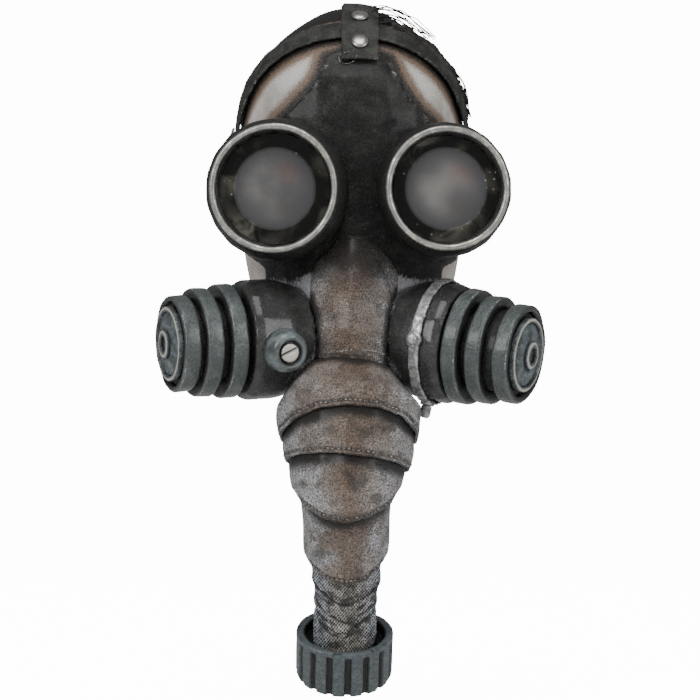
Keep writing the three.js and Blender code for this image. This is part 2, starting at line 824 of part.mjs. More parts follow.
function trunkCutter(margin) {
  const row = sleeveRows[0];
  const loops = sleeveSteps.map((share) => {
    const loop = [];
    for (let i = 0; i < sleeveSegments; i += 1) {
      const angle = Math.PI * 2 * i / sleeveSegments;
      const start = edgeAt(row.frontStart, row.sideStart, row.backStart, angle) * trunkDrop - margin;
      const hem = edgeAt(row.frontHem, row.sideHem, row.sideHem, angle) * trunkDrop + cutterBelow;
      const half = sleeveHalfWidth(row, share) + 2 * gap;
      loop.push(trunkPoint(start + (hem - start) * share, angle, half, half * row.depth + gap * 0.3));
    }
    return loop;
  });
  return toSolid(skin(loops, false));
}

function hose() {
  const loops = [];
  for (let i = 0; i < sleeveSegments; i += 1) {
    const angle = Math.PI * 2 * i / sleeveSegments;
    const sag = hoseSag * Math.cos(angle);
    const hoseEnd = capStart + hoseInCap;
    const skinAt = (row, wall) => {
      const radius = row.full * hoseRadius - wall;
      const place = hoseStart + (hoseEnd - hoseStart) * row.at + row.sag * sag;
      return trunkPoint(place, angle, radius, radius * hoseDepthShare);
    };
    const outer = hoseRows.map((row) => skinAt(row, 0));
    const inner = hoseRows.map((row) => skinAt(row, hoseWall));
    loops.push([...outer, ...inner.reverse()]);
  }
  return skin(loops, true);
}

// Frame of the cap: +Z runs down along the hose
function capMatrix() {
  const frame = trunkFrame(capStart);
  const basis = new THREE.Matrix4().makeBasis(frame.side, frame.along.clone().cross(frame.side).normalize(),
    frame.along);
  return new THREE.Matrix4().makeTranslation(frame.centre.x, frame.centre.y, frame.centre.z).multiply(basis);
}

// Ribbed cap with a dished top that the hose goes into
function hoseCap() {
  const outline = [];
  for (let i = 0; i < capRibs; i += 1) {
    const start = Math.PI * 2 * i / capRibs;
    const step = Math.PI * 2 / capRibs;
    outline.push(polar(capRadius, start));
    outline.push(polar(capRadius, start + step * 0.6));
    outline.push(polar(capRadius - capRibDepth, start + step * 0.68));
    outline.push(polar(capRadius - capRibDepth, start + step * 0.92));
  }
  const ribs = new THREE.ExtrudeGeometry(new THREE.Shape(outline), { depth: capHeight, bevelEnabled: false });
  const dish = new THREE.CylinderGeometry(capDishRadius, capDishRadius, capDishDepth * 2, 24);
  dish.rotateX(Math.PI / 2);
  const roomRadius = hoseRadius * hoseEndFull + 2 * gap;
  const hoseRoom = new THREE.CylinderGeometry(roomRadius, roomRadius, 34, 18);
  hoseRoom.rotateX(Math.PI / 2);
  const solid = toSolid(ribs).subtract(toSolid(dish)).subtract(toSolid(hoseRoom));
  return tidied(toGeometry(solid).applyMatrix4(capMatrix()));
}

function polar(radius, angle) {
  return new THREE.Vector2(radius * Math.cos(angle), radius * Math.sin(angle));
}

// What is kept of the shell: in front of a line over the crown, behind the ears and down to the jaw
function backCut() {
  const side = [
    { y: crownEdgeY, up: cutterUp },
    { y: crownEdgeY, up: 119 },
    { y: earEdgeY + 10, up: 69 },
    { y: earEdgeY, up: 19 },
    { y: earEdgeY - 4, up: -51 },
    { y: jawEdgeY, up: -111 },
    { y: jawEdgeY - 14, up: cutterDown },
    { y: cutterBack, up: cutterDown },
    { y: cutterBack, up: cutterUp },
  ];
  const shape = new THREE.Shape(side.map((p) => new THREE.Vector2(p.y, eyeLevel + p.up)));
  const geometry = new THREE.ExtrudeGeometry(shape, { depth: 2 * cutterHalfWidth, bevelEnabled: false });
  geometry.applyMatrix4(new THREE.Matrix4().makeBasis(
    new THREE.Vector3(0, 1, 0), new THREE.Vector3(0, 0, 1), new THREE.Vector3(1, 0, 0)));
  geometry.translate(-cutterHalfWidth, 0, 0);
  return toSolid(geometry);
}

function jawCut() {
  const box = new THREE.BoxGeometry(2 * cutterHalfWidth, 2 * cutterBack, 2 * cutterHalfWidth / 3);
  box.translate(0, 0, crownTop - headHeight - cutterHalfWidth / 3);
  return toSolid(box);
}

// Air holes from the face into the two canisters
function airHole(place) {
  const rows = [[0, -50], [14, -50], [14, -150], [0, -150]];
  return toSolid(turned(rows, 16, canisterMatrix(place)));
}

function openings() {
  return [eyeHole(goggles.left), eyeHole(goggles.right), airHole(canisters.left), airHole(canisters.right),
    trunkCutter(faceMargin)];
}

function faceShell() {
  let solid = headSolid(0).subtract(headSolid(-latexWall)).subtract(backCut()).subtract(jawCut());
  for (const hole of openings()) solid = solid.subtract(hole);
  return toGeometry(solid);
}

function facepiece() {
  let solid = headSolid(gap + rubberWall).subtract(headSolid(gap));
  solid = solid.intersect(outlineBar(facepieceOutline, cutterFront, rubberBack)).subtract(jawCut());
  for (const hole of openings()) solid = solid.subtract(hole);
  return toGeometry(solid);
}

function nosePanel() {
  const inner = 2 * gap + rubberWall;
  let solid = headSolid(inner + leatherWall + 0.4).subtract(headSolid(inner));
  solid = solid.intersect(outlineBar(nosePanelOutline, cutterFront, panelBack));
  solid = solid.subtract(canisterBodySolid(canisters.left, gap)).subtract(
    canisterBodySolid(canisters.right, gap)).subtract(trunkCutter(panelMargin));
  return toGeometry(solid);
}

function firstSleeve() {
  return toGeometry(sleeveSolid(sleeveRows[0])
    .subtract(canisterBodySolid(canisters.left, gap))
    .subtract(canisterBodySolid(canisters.right, gap)));
}

// Rivet head on the crown strap plane, at an angle up from the front, standing on the piece below it
function strapRivet(plane, angle, lift) {
  const direction = plane.across.clone().multiplyScalar(Math.cos(radians(angle)))
    .addScaledVector(plane.up, Math.sin(radians(angle)));
  const foot = surfacePoint(plane.centre.clone(), direction, lift);
  const out = outwardAt(surfacePoint(plane.centre.clone(), direction, 0));
  const turn = new THREE.Quaternion().setFromUnitVectors(new THREE.Vector3(0, 1, 0), out);
  const matrix = new THREE.Matrix4().compose(foot, turn, new THREE.Vector3(1, 1, 1));
  const rows = [[0, 0], [rivetRadius, 0], [rivetRadius, 0.8], [rivetRadius * 0.7, rivetHeight * 0.8],
    [0, rivetHeight]];
  return turned(rows, rivetSides, matrix);
}

// Dark hair tuft: locks of changing thickness fused to a strip that lies behind the brow band at the right
const hairRows = [
  { angle: 74, width: 8, thickness: 3 },
  { angle: 67, width: 12, thickness: 6 },
  { angle: 60, width: 10, thickness: 4 },
  { angle: 53, width: 12, thickness: 5.5 },
  { angle: 46, width: 9, thickness: 3.5 },
  { angle: 39, width: 11, thickness: 4.5 },
  { angle: 32, width: 9, thickness: 3.5 },
  { angle: 25, width: 12, thickness: 5 },
  { angle: 18, width: 10, thickness: 4.5 },
  { angle: 12, width: 6, thickness: 2.5 },
];

function hairTuft() {
  const square = bandPlane.across.clone().cross(bandPlane.up).normalize();
  if (square.y < 0) square.negate();
  const front = bandWidth / 2 + 1.5;
  const loops = hairRows.map((row) => {
    const angle = radians(row.angle);
    const direction = bandPlane.across.clone().multiplyScalar(Math.cos(angle))
      .addScaledVector(bandPlane.up, Math.sin(angle));
    const at = (back, lift) => surfacePoint(
      bandPlane.centre.clone().addScaledVector(square, front + back), direction, lift);
    return [at(0, 3 * gap), at(row.width, 3 * gap), at(row.width, gap + 1.8),
      at(row.width / 2, gap + row.thickness), at(0, gap + 1.8)];
  });
  return skin(loops, false);
}

const colours = {
  skin: 0xa59b94, rubber: 0x32322e, cup: 0x1c1c1a, silver: 0xaaa8a0, lens: 0x4c4a46, leather: 0x827670,
  canister: 0x586360, groove: 0x141412, cloth: 0x3e4248, cap: 0x4b5558, strap: 0x343532, hair: 0x1a1614,
};

function piece(name, geometry, colour) {
  geometry.computeVertexNormals();
  const mesh = new THREE.Mesh(geometry, new THREE.MeshStandardMaterial({ color: colour, roughness: 0.6 }));
  mesh.name = name;
  return mesh;
}

function canisterPieces(name, headCut) {
  const place = canisters[name];
  const pieces = [
    piece(`${name}_canister_body`, canisterBody(place, headCut), colours.rubber),
    piece(`${name}_canister_core`, canisterCore(place), colours.groove),
    piece(`${name}_end_ring`, canisterEndRing(place), colours.silver),
    piece(`${name}_end_disc`, canisterEndDisc(place), colours.canister),
    piece(`${name}_end_eyelet`, canisterEyelet(place), colours.silver),
  ];
  bandRows[name].forEach((row, i) => {
    pieces.push(piece(`${name}_canister_band_${i + 1}`, canisterBand(place, row), colours.canister));
  });
  return pieces;
}

function build() {
  const headCut = headSolid(2 * gap + rubberWall);
  const strapLift = 3 * gap;
  const tabLift = strapLift + strapThickness + 2 * gap;
  const mask = new THREE.Group();
  mask.add(piece("face_shell", faceShell(), colours.skin));
  mask.add(piece("face_rubber", facepiece(), colours.rubber));
  for (const name of ["left", "right"]) {
    mask.add(piece(`${name}_eye_cup`, eyeCup(goggles[name], headCut), colours.cup));
    mask.add(piece(`${name}_eye_rim`, eyeRim(goggles[name]), colours.silver));
    mask.add(piece(`${name}_eye_lens`, eyeLens(goggles[name]), colours.lens));
    mask.add(...canisterPieces(name, headCut));
  }
  mask.add(piece("left_knob", leftKnob(), colours.rubber));
  mask.add(piece("left_screw", leftScrew(), colours.silver));
  mask.add(piece("right_clamp", rightClamp(), colours.silver));
  boltRows.forEach((row, i) => mask.add(piece(`right_${row.name}`, clampBolt(i), colours.silver)));
  mask.add(piece("nose_panel", nosePanel(), colours.leather));
  mask.add(piece("trunk_flap_1", firstSleeve(), colours.leather));
  for (const row of sleeveRows.slice(1)) mask.add(piece(row.name, toGeometry(sleeveSolid(row)), colours.leather));
  mask.add(piece("hose", hose(), colours.cloth));
  mask.add(piece("hose_cap", hoseCap(), colours.cap));
  const band = strapOnHead(bandPlane, 3, 177, 22, bandWidth, strapLift, strapLift);
  const crown = strapOnHead(crownPlane, 67, 196, 16, tabWidth - 2, strapLift, strapLift);
  mask.add(piece("brow_band", band, colours.strap));
  mask.add(piece("crown_strap", crown, colours.strap));
  mask.add(piece("back_strap", strapOnHead(backPlane, 8, 172, 18, bandWidth, strapLift, tabLift),
    colours.strap));
  mask.add(piece("rivet_tab", strapOnHead(crownPlane, 30.5, 71, 9, tabWidth, tabLift, tabLift),
    colours.strap));
  const rivetLift = tabLift + strapThickness + gap;
  mask.add(piece("rivet_upper", strapRivet(crownPlane, 58, rivetLift), colours.silver));
  mask.add(piece("rivet_lower", strapRivet(crownPlane, 39.5, rivetLift), colours.silver));
  for (const [name, side] of [["left", 180], ["right", 0]]) {
    const toMiddle = side ? -1 : 1;
    mask.add(piece(`${name}_temple_rivet`, strapRivet(bandPlane, side + toMiddle * 9,
      strapLift + strapThickness + gap), colours.silver));
    mask.add(piece(`${name}_back_rivet`, strapRivet(backPlane, side + toMiddle * 13,
      strapLift + strapThickness + 3 * gap), colours.silver));
  }
  mask.add(piece("middle_back_rivet", strapRivet(backPlane, 89, rivetLift), colours.silver));
  mask.add(piece("hair_tuft", hairTuft(), colours.hair));
  return mask;
}

export default build();
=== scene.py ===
import math
import random

import bpy
import numpy as np
from mathutils import Matrix, Vector, noise
from mathutils.bvhtree import BVHTree
from mathutils.kdtree import KDTree


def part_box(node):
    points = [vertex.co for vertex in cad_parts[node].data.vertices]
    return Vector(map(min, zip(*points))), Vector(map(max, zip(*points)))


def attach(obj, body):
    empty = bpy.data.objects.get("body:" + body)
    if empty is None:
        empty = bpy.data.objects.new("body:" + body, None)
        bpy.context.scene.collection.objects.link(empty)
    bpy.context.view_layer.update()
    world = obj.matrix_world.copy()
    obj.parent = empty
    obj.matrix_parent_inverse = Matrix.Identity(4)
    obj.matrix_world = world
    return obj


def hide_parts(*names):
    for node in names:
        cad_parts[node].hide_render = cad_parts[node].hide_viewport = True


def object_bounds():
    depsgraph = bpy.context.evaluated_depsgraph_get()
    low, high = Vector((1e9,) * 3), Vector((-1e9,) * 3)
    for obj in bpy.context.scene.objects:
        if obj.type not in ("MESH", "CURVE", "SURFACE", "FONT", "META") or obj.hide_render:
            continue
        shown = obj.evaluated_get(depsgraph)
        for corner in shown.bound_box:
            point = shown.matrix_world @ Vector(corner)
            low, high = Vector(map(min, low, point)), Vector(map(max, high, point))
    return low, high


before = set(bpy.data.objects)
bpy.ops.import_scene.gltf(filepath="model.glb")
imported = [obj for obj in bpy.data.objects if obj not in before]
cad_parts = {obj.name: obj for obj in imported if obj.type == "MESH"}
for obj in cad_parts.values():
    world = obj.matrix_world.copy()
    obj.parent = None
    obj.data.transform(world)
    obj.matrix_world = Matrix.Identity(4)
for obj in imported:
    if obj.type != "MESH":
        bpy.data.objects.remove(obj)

cad_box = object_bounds()
scene = bpy.context.scene

# The studio. The mask hangs over a plain pale floor, in front of white, in soft light from above and
# from both sides. The camera is level, in front of the goggles, and stands two metres from them.
photo_width = 700
rim_plane = -0.122
camera_distance = 2.0
pixel_size = 0.00072
camera_place = Vector((-0.00504, rim_plane - camera_distance, -0.2596))
floor_gap = 0.012
floor_radius = 6.0
floor_solid_radius = 0.7
aim = Vector((-0.005, -0.05, -0.25))

camera = bpy.data.objects.new("camera", bpy.data.cameras.new("camera"))
camera.data.sensor_width = 36.0
camera.data.lens = camera.data.sensor_width * camera_distance / (pixel_size * photo_width)
camera.location = camera_place
camera.rotation_euler = (math.radians(90), 0, 0)
scene.collection.objects.link(camera)
scene.camera = camera


def add_node(tree, kind, inputs=None, **settings):
    """A shader node with its settings. Each input is a plain value or another node's output."""
    made = tree.nodes.new("ShaderNode" + kind)
    for setting, value in settings.items():
        setattr(made, setting, value)
    for socket, value in (inputs or {}).items():
        if isinstance(value, bpy.types.NodeSocket):
            tree.links.new(value, made.inputs[socket])
        else:
            made.inputs[socket].default_value = value
    return made


def new_material(name, values):
    """A material with its plain shader values set: returns its node tree, its shader and itself."""
    material = bpy.data.materials.new(name)
    material.use_nodes = True
    shader = material.node_tree.nodes["Principled BSDF"]
    for socket, value in values.items():
        shader.inputs[socket].default_value = value
    return material.node_tree, shader, material


# Each lamp: where it stands, its width in metres and its power in watts
lamps = {
    "left_softbox": {"place": (-1.4, -1.7, 0.75), "width": 0.9, "power": 26},
    "right_softbox": {"place": (1.6, -1.5, 0.45), "width": 0.9, "power": 18},
    "top_softbox": {"place": (0.0, -0.75, 1.35), "width": 0.9, "power": 15},
    "low_reflector": {"place": (0.0, -1.7, -1.0), "width": 1.2, "power": 3},
}
for lamp_name, lamp in lamps.items():
    light = bpy.data.objects.new(lamp_name, bpy.data.lights.new(lamp_name, "AREA"))
    light.data.size = lamp["width"]
    light.data.energy = lamp["power"]
    light.location = lamp["place"]
    light.rotation_euler = (aim - light.location).to_track_quat("-Z", "Y").to_euler()
    scene.collection.objects.link(light)

world = bpy.data.worlds.new("white_room")
world.use_nodes = True
scene.world = world
room_light = 0.22
backdrop_light = 14.0
sky = world.node_tree.nodes["Background"]
sky.inputs["Color"].default_value = (1, 1, 1, 1)


def seen_brightness(tree, others, seen):
    """One brightness for what the camera sees itself, and another for the light that falls on the mask."""
    by_camera = add_node(tree, "LightPath").outputs["Is Camera Ray"]
    return add_node(tree, "MapRange", {"Value": by_camera, "To Min": others, "To Max": seen}).outputs[0]


strength = seen_brightness(world.node_tree, room_light, backdrop_light)
world.node_tree.links.new(strength, sky.inputs["Strength"])

floor_mesh = bpy.data.meshes.new("floor")
floor_sides = 64
floor_turns = [math.tau * i / floor_sides for i in range(floor_sides)]
floor_rim = [(floor_radius * math.cos(turn), floor_radius * math.sin(turn), 0) for turn in floor_turns]
floor_mesh.from_pydata(floor_rim, [], [tuple(range(floor_sides))])
floor = bpy.data.objects.new("floor", floor_mesh)
floor.location = (0, 0, cad_box[0][2] - floor_gap)
scene.collection.objects.link(floor)
tree, shader, floor_paint = new_material(
    "floor_paint", {"Base Color": (0.9, 0.9, 0.9, 1), "Roughness": 0.9, "Emission Color": (1, 1, 1, 1)})
# Towards its rim the floor lets the white behind it through, so that no line shows where it ends
from_middle = add_node(tree, "VectorMath", operation="LENGTH")
tree.links.new(add_node(tree, "TexCoord").outputs["Object"], from_middle.inputs[0])
faded = add_node(
    tree, "MapRange",
    {"Value": from_middle.outputs["Value"], "From Min": floor_solid_radius, "From Max": floor_radius * 0.6,
     "To Min": 1.0, "To Max": 0.0},
    interpolation_type="SMOOTHSTEP",
)
tree.links.new(faded.outputs[0], shader.inputs["Alpha"])
floor_glow = 14.0
tree.links.new(seen_brightness(tree, 0.0, floor_glow), shader.inputs["Emission Strength"])
floor_mesh.materials.append(floor_paint)


# The latex face. A thin shell of cast latex in pale skin colour, open behind, that shows at both sides
# of the forehead and below the goggles. It has brown airbrush along the straps and the rubber, which is
# also painted shade where they lie on it.
skin_pale = (0.58, 0.55, 0.52, 1)
skin_grey = (0.40, 0.375, 0.345, 1)
skin_airbrush_shade_brown = (0.175, 0.124, 0.090, 1)
skin_shade_and_crown_black = (0.010, 0.009, 0.008, 1)
shell_voxel = 0.0020
shade_reach = 0.019
crown_shade = 1.3
wedge_shade = 0.25
wedge_top = -0.180


def node_points(*nodes):
    """The corners of these solids, as rows of x, y and z."""
    rows = [np.array([v.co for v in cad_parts[name].data.vertices]) for name in nodes]
    return np.unique(np.round(np.concatenate(rows), 6), axis=0)


def solid_tree(*nodes):
    """A search tree of the faces of these solids."""
    corners = []
    faces = []
    for name in nodes:
        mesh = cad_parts[name].data
        start = len(corners)
        corners += [v.co.copy() for v in mesh.vertices]
        faces += [[start + i for i in face.vertices] for face in mesh.polygons]
    return BVHTree.FromPolygons(corners, faces)


def piece_tree(piece):
    """A search tree of the faces of a finished piece."""
    mesh = piece.data
    return BVHTree.FromPolygons([v.co for v in mesh.vertices], [tuple(f.vertices) for f in mesh.polygons])


def points_tree(points):
    """A search tree of points."""
    found = KDTree(len(points))
    for i, point in enumerate(points):
        found.insert(point, i)
    found.balance()
    return found


def edge_tree(node, sharpest=58.0, spacing=0.001):
    """A search tree of points along the sharp edges of a solid, such as hems and rims."""
    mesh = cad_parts[node].data
    corner_places = [tuple(round(value, 6) for value in v.co) for v in mesh.vertices]
    sides = {}
    for face in mesh.polygons:
        for a, b in face.edge_keys:
            key = tuple(sorted((corner_places[a], corner_places[b])))
            sides.setdefault(key, []).append(face.normal)
    limit = math.cos(math.radians(sharpest))
    points = []
    for (a, b), normals in sides.items():
        if all(one.dot(other) > limit for one in normals for other in normals):
            continue
        start, end = Vector(a), Vector(b)
        steps = max(1, int((end - start).length / spacing))
        points += [start.lerp(end, i / steps) for i in range(steps + 1)]
    return points_tree(points)


def coordinates(piece):
    """Every vertex of a piece, as rows of x, y and z."""
    rows = np.empty(len(piece.data.vertices) * 3, dtype=np.float32)
    piece.data.vertices.foreach_get("co", rows)
    return rows.reshape(-1, 3).astype(float)


def set_coordinates(piece, rows):
    """Moves every vertex of a piece to its row."""
    piece.data.vertices.foreach_set("co", np.ascontiguousarray(rows, dtype=np.float32).ravel())
    piece.data.update()


def vertex_normals(piece):
    """The way that each vertex faces, as rows of x, y and z."""
    return np.array([v.normal for v in piece.data.vertices])


def applied(piece):
    """The piece with its modifiers made part of its mesh."""
    bpy.context.view_layer.update()
    shaped = piece.evaluated_get(bpy.context.evaluated_depsgraph_get())
    mesh = bpy.data.meshes.new_from_object(shaped)
    piece.modifiers.clear()
    piece.data = mesh
    return piece


def smooth_step(values, low, high):
    """0 below low and 1 above high, eased between them."""
    share = np.clip((np.asarray(values) - low) / (high - low), 0, 1)
    return share * share * (3 - 2 * share)


def nearest(found, rows):
    """How far each row is from the nearest point of an edge tree."""
    return np.array([found.find(row)[2] for row in rows])


def nearness(rows, tree_of_faces, reach):
    """1 for a point on these faces, falling to 0 at the reach."""
    far = np.full(len(rows), reach)
    for i, row in enumerate(rows):
        hit = tree_of_faces.find_nearest(row, reach)
        if hit[3] is not None:
            far[i] = hit[3]
    return 1 - smooth_step(far, 0.0, reach)


def painted(piece, name, values):
    """Keeps one number for each vertex under a name that materials read."""
    layer = piece.data.attributes.new(name, "FLOAT", "POINT")
    layer.data.foreach_set("value", np.asarray(values, dtype=np.float32))


def fine_copy(node, name, voxel, rounds=40, edge_keep=0.006, softening=2):
    """A copy of a solid in small even faces, with its flats rounded and its hems kept in place."""
    piece = bpy.data.objects.new(name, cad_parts[node].data.copy())
    scene.collection.objects.link(piece)
    piece.data.materials.clear()
    remesh = piece.modifiers.new("fine", "REMESH")
    remesh.mode = "VOXEL"
    remesh.voxel_size = voxel
    applied(piece)
    hems = edge_tree(node)
    away = piece.vertex_groups.new(name="away_from_hems")
    weights = smooth_step(nearest(hems, coordinates(piece)), edge_keep * 0.2, edge_keep)
    for level in range(1, 11):
        members = np.nonzero(np.round(weights * 10) == level)[0].tolist()
        away.add(members, level / 10, "REPLACE")
    rounded = piece.modifiers.new("rounded", "SMOOTH")
    rounded.factor = 0.5
    rounded.iterations = rounds
    rounded.vertex_group = away.name
    softened = piece.modifiers.new("softened", "SMOOTH")
    softened.factor = 0.5
    softened.iterations = softening
    applied(piece)
    piece.vertex_groups.clear()
    piece.data.polygons.foreach_set("use_smooth", [True] * len(piece.data.polygons))
    painted(piece, "hem", 1 - smooth_step(nearest(hems, coordinates(piece)), 0.0, 0.005))
    return piece


def roughened(piece, size, depth):
    """Moves the surface in and out by soft noise, so that it looks cast by hand."""
    rows = coordinates(piece)
    moves = np.array([noise.noise(Vector(row) / size) for row in rows]) * depth
    set_coordinates(piece, rows + vertex_normals(piece) * moves[:, None])
    return piece


def stands_for(piece, paint, slot, *nodes):
    """The painted piece rides on the mask and shows in place of these solids. The slot is not used."""
    piece.data.materials.append(paint)
    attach(piece, "root")
    if nodes:
        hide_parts(*nodes)
    return piece


def new_group(name, sockets, results):
    """An effect as a node group. sockets are (name, type, value) rows and results are (name, type) rows."""
    group = bpy.data.node_groups.new(name, "ShaderNodeTree")
    for socket_name, kind, value in sockets:
        socket = group.interface.new_socket(socket_name, in_out="INPUT", socket_type="NodeSocket" + kind)
        socket.default_value = value
    for socket_name, kind in results:
        group.interface.new_socket(socket_name, in_out="OUTPUT", socket_type="NodeSocket" + kind)
    return group, group.nodes.new("NodeGroupInput"), group.nodes.new("NodeGroupOutput")


def placed(tree, group, inputs):
    """A node group in a material, with its inputs set."""
    return add_node(tree, "Group", inputs, node_tree=group)


def math_node(tree, operation, first, second=0.0):
    """The result of one step of arithmetic."""
    return add_node(tree, "Math", {0: first, 1: second}, operation=operation).outputs[0]


def noise_node(tree, place, scale, detail=2.0, **inputs):
    """Soft noise over a surface, with the size of its cells given as cells a metre."""
    inputs = {"Vector": place, "Scale": scale, "Detail": detail, **inputs}
    return add_node(tree, "TexNoise", inputs)


def stepped(tree, value, low, high, start=0.0, end=1.0):
    """A value mapped from low…high to start…end with an eased curve."""
    made = add_node(
        tree, "MapRange",
        {"Value": value, "From Min": low, "From Max": high, "To Min": start, "To Max": end},
        interpolation_type="SMOOTHSTEP",
    )
    return made.outputs[0]


def mixed(tree, mask, first, second, way="MIX"):
    """Two colours mixed by a mask."""
    made = add_node(tree, "Mix", {0: mask, 6: first, 7: second}, data_type="RGBA", blend_type=way)
    return made.outputs[2]


def read(tree, name):
    """The number that was painted on each vertex under this name."""
    return add_node(tree, "Attribute", attribute_name=name).outputs["Fac"]


def object_place(tree):
    """Where on the mask a point is, so that a pattern keeps its real size."""
    return add_node(tree, "TexCoord").outputs["Object"]


def linked(tree, shader, results):
    """Joins these results to the shader's sockets."""
    for socket, value in results.items():
        tree.links.new(value, shader.inputs[socket])


# Patchy colour: two paints that run into each other in soft uneven patches
patchy, given, taken = new_group(
    "Patchy colour",
    [("Light", "Color", (1, 1, 1, 1)), ("Dark", "Color", (0, 0, 0, 1)), ("Scale", "Float", 40.0),
     ("Balance", "Float", 0.5)],
    [("Colour", "Color"), ("Mask", "Float")],
)
wide = noise_node(patchy, object_place(patchy), given.outputs["Scale"], 5.0, Roughness=0.62)
cut = math_node(patchy, "SUBTRACT", wide.outputs["Fac"], given.outputs["Balance"])
patch_mask = stepped(patchy, cut, -0.12, 0.12)
patched = mixed(patchy, patch_mask, given.outputs["Light"], given.outputs["Dark"])
patchy.links.new(patched, taken.inputs["Colour"])
patchy.links.new(patch_mask, taken.inputs["Mask"])

# Pebbled grain: small uneven pebbles between dark creases, as a height for a bump and as the colour that
# paint takes on it, darker in the creases and lighter on the tops
grain, given, taken = new_group(
    "Pebbled grain",
    [("Colour", "Color", (0.5, 0.5, 0.5, 1)), ("Scale", "Float", 600.0), ("Creases", "Float", 0.5),
     ("Contrast", "Float", 0.5)],
    [("Colour", "Color"), ("Height", "Float")],
)
spot = object_place(grain)
wander = noise_node(grain, spot, math_node(grain, "MULTIPLY", given.outputs["Scale"], 0.5))
bent = add_node(grain, "MixRGB", {0: 0.0025, 1: spot, 2: wander.outputs["Color"]}, blend_type="ADD")
cells = add_node(grain, "TexVoronoi", {"Vector": bent.outputs[0], "Scale": given.outputs["Scale"]},
                 feature="DISTANCE_TO_EDGE")
pebble = stepped(grain, cells.outputs["Distance"], 0.0, 0.30)
small_scale = math_node(grain, "MULTIPLY", given.outputs["Scale"], 1.1)
small = noise_node(grain, spot, small_scale, 3.0, Roughness=0.6)
crisp = stepped(grain, small.outputs["Fac"], 0.38, 0.62)
creased = math_node(grain, "MULTIPLY", pebble, given.outputs["Creases"])
plain = math_node(grain, "SUBTRACT", 1.0, given.outputs["Creases"])
height = math_node(grain, "ADD", creased, math_node(grain, "MULTIPLY", crisp, plain))
# Around 1 on average, down to 1 - contrast in the creases and up to 1 + contrast on the tops
from_middle = math_node(grain, "SUBTRACT", height, 0.5)
lift = math_node(grain, "MULTIPLY", from_middle, math_node(grain, "MULTIPLY", given.outputs["Contrast"], 2.0))
shade_of_grain = math_node(grain, "MAXIMUM", math_node(grain, "ADD", 1.0, lift), 0.04)
grained = mixed(grain, 1.0, given.outputs["Colour"], shade_of_grain, "MULTIPLY")
grain.links.new(grained, taken.inputs["Colour"])
grain.links.new(height, taken.inputs["Height"])

# Dry brushed paint: broken specks of paint that catch only on the high places
dry_brushed, given, taken = new_group(
    "Dry brushed paint",
    [("Amount", "Float", 0.5), ("Scale", "Float", 500.0), ("Streak", "Vector", (1.0, 1.0, 1.0))],
    [("Mask", "Float")],
)
stretched = add_node(dry_brushed, "VectorMath", {0: object_place(dry_brushed), 1: given.outputs["Streak"]},
                     operation="MULTIPLY")
fine = noise_node(dry_brushed, stretched.outputs[0], given.outputs["Scale"], 6.0, Roughness=0.7)
coarse_scale = math_node(dry_brushed, "MULTIPLY", given.outputs["Scale"], 0.12)
coarse = noise_node(dry_brushed, object_place(dry_brushed), coarse_scale, 3.0)
fine_share = math_node(dry_brushed, "MULTIPLY", fine.outputs["Fac"], 0.6)
coarse_share = math_node(dry_brushed, "MULTIPLY", coarse.outputs["Fac"], 0.4)
both = math_node(dry_brushed, "ADD", fine_share, coarse_share)
covered = math_node(dry_brushed, "MULTIPLY", given.outputs["Amount"], 0.72)
level = math_node(dry_brushed, "SUBTRACT", 1.02, covered)
over = math_node(dry_brushed, "SUBTRACT", both, level)
dry_brushed.links.new(stepped(dry_brushed, over, -0.06, 0.10), taken.inputs["Mask"])


def two_paints(tree, light, dark, scale, balance):
    """Light and dark paint in soft patches, so many a metre. A high balance shows more of the light."""
    return placed(tree, patchy, {"Light": light, "Dark": dark, "Scale": scale, "Balance": balance})


def pebbled(tree, colour, scale, creases, contrast):
    """Grain on a painted surface."""
    return placed(tree, grain, {"Colour": colour, "Scale": scale, "Creases": creases, "Contrast": contrast})


def brushed_over(tree, amount, scale, streak=(1.0, 1.0, 1.0)):
    """The mask of a dry brushed coat. The streak squeezes its specks along x, y and z."""
    return placed(tree, dry_brushed, {"Amount": amount, "Scale": scale, "Streak": streak}).outputs["Mask"]


def bumped(tree, height, strength, distance):
    """The normal of a surface with this height on it."""
    made = add_node(tree, "Bump", {"Height": height, "Strength": strength, "Distance": distance})
    return made.outputs["Normal"]


tree, shader, latex_paint = new_material("latex_skin_paint", {"Roughness": 0.42, "Specular IOR Level": 0.4})
skin = two_paints(tree, skin_pale, skin_grey, 26.0, 0.56)
spray = noise_node(tree, object_place(tree), 900.0)
# Painted shade: brown, then near black, where the straps, the rubber, the goggles and the canisters lie on
# the latex, broken up by spray
sprayed_shade = math_node(tree, "ADD", read(tree, "shade"),
                    stepped(tree, spray.outputs["Fac"], 0.3, 0.7, -0.10, 0.10))
brown_shade_edge = stepped(tree, sprayed_shade, 0.05, 0.62)
dark_shade_edge = stepped(tree, sprayed_shade, 0.66, 1.0)
colour = mixed(tree, brown_shade_edge, skin.outputs["Colour"], skin_airbrush_shade_brown)
colour = mixed(tree, dark_shade_edge, colour, skin_shade_and_crown_black)
pores = pebbled(tree, colour, 900.0, 0.3, 0.16)
linked(tree, shader, {
    "Base Color": pores.outputs["Colour"],
    "Normal": bumped(tree, pores.outputs["Height"], 0.4, 0.0004),
})

face = roughened(fine_copy("face_shell", "latex_face", shell_voxel, rounds=60, softening=8), 0.03, 0.0006)
face_rows = coordinates(face)
over_face = solid_tree("brow_band", "face_rubber", "left_eye_cup", "right_eye_cup", "left_canister_body",
                       "right_canister_body", "crown_strap")
# Painted shade on the latex next to the parts that lie on it
face_shade = nearness(face_rows, over_face, shade_reach)
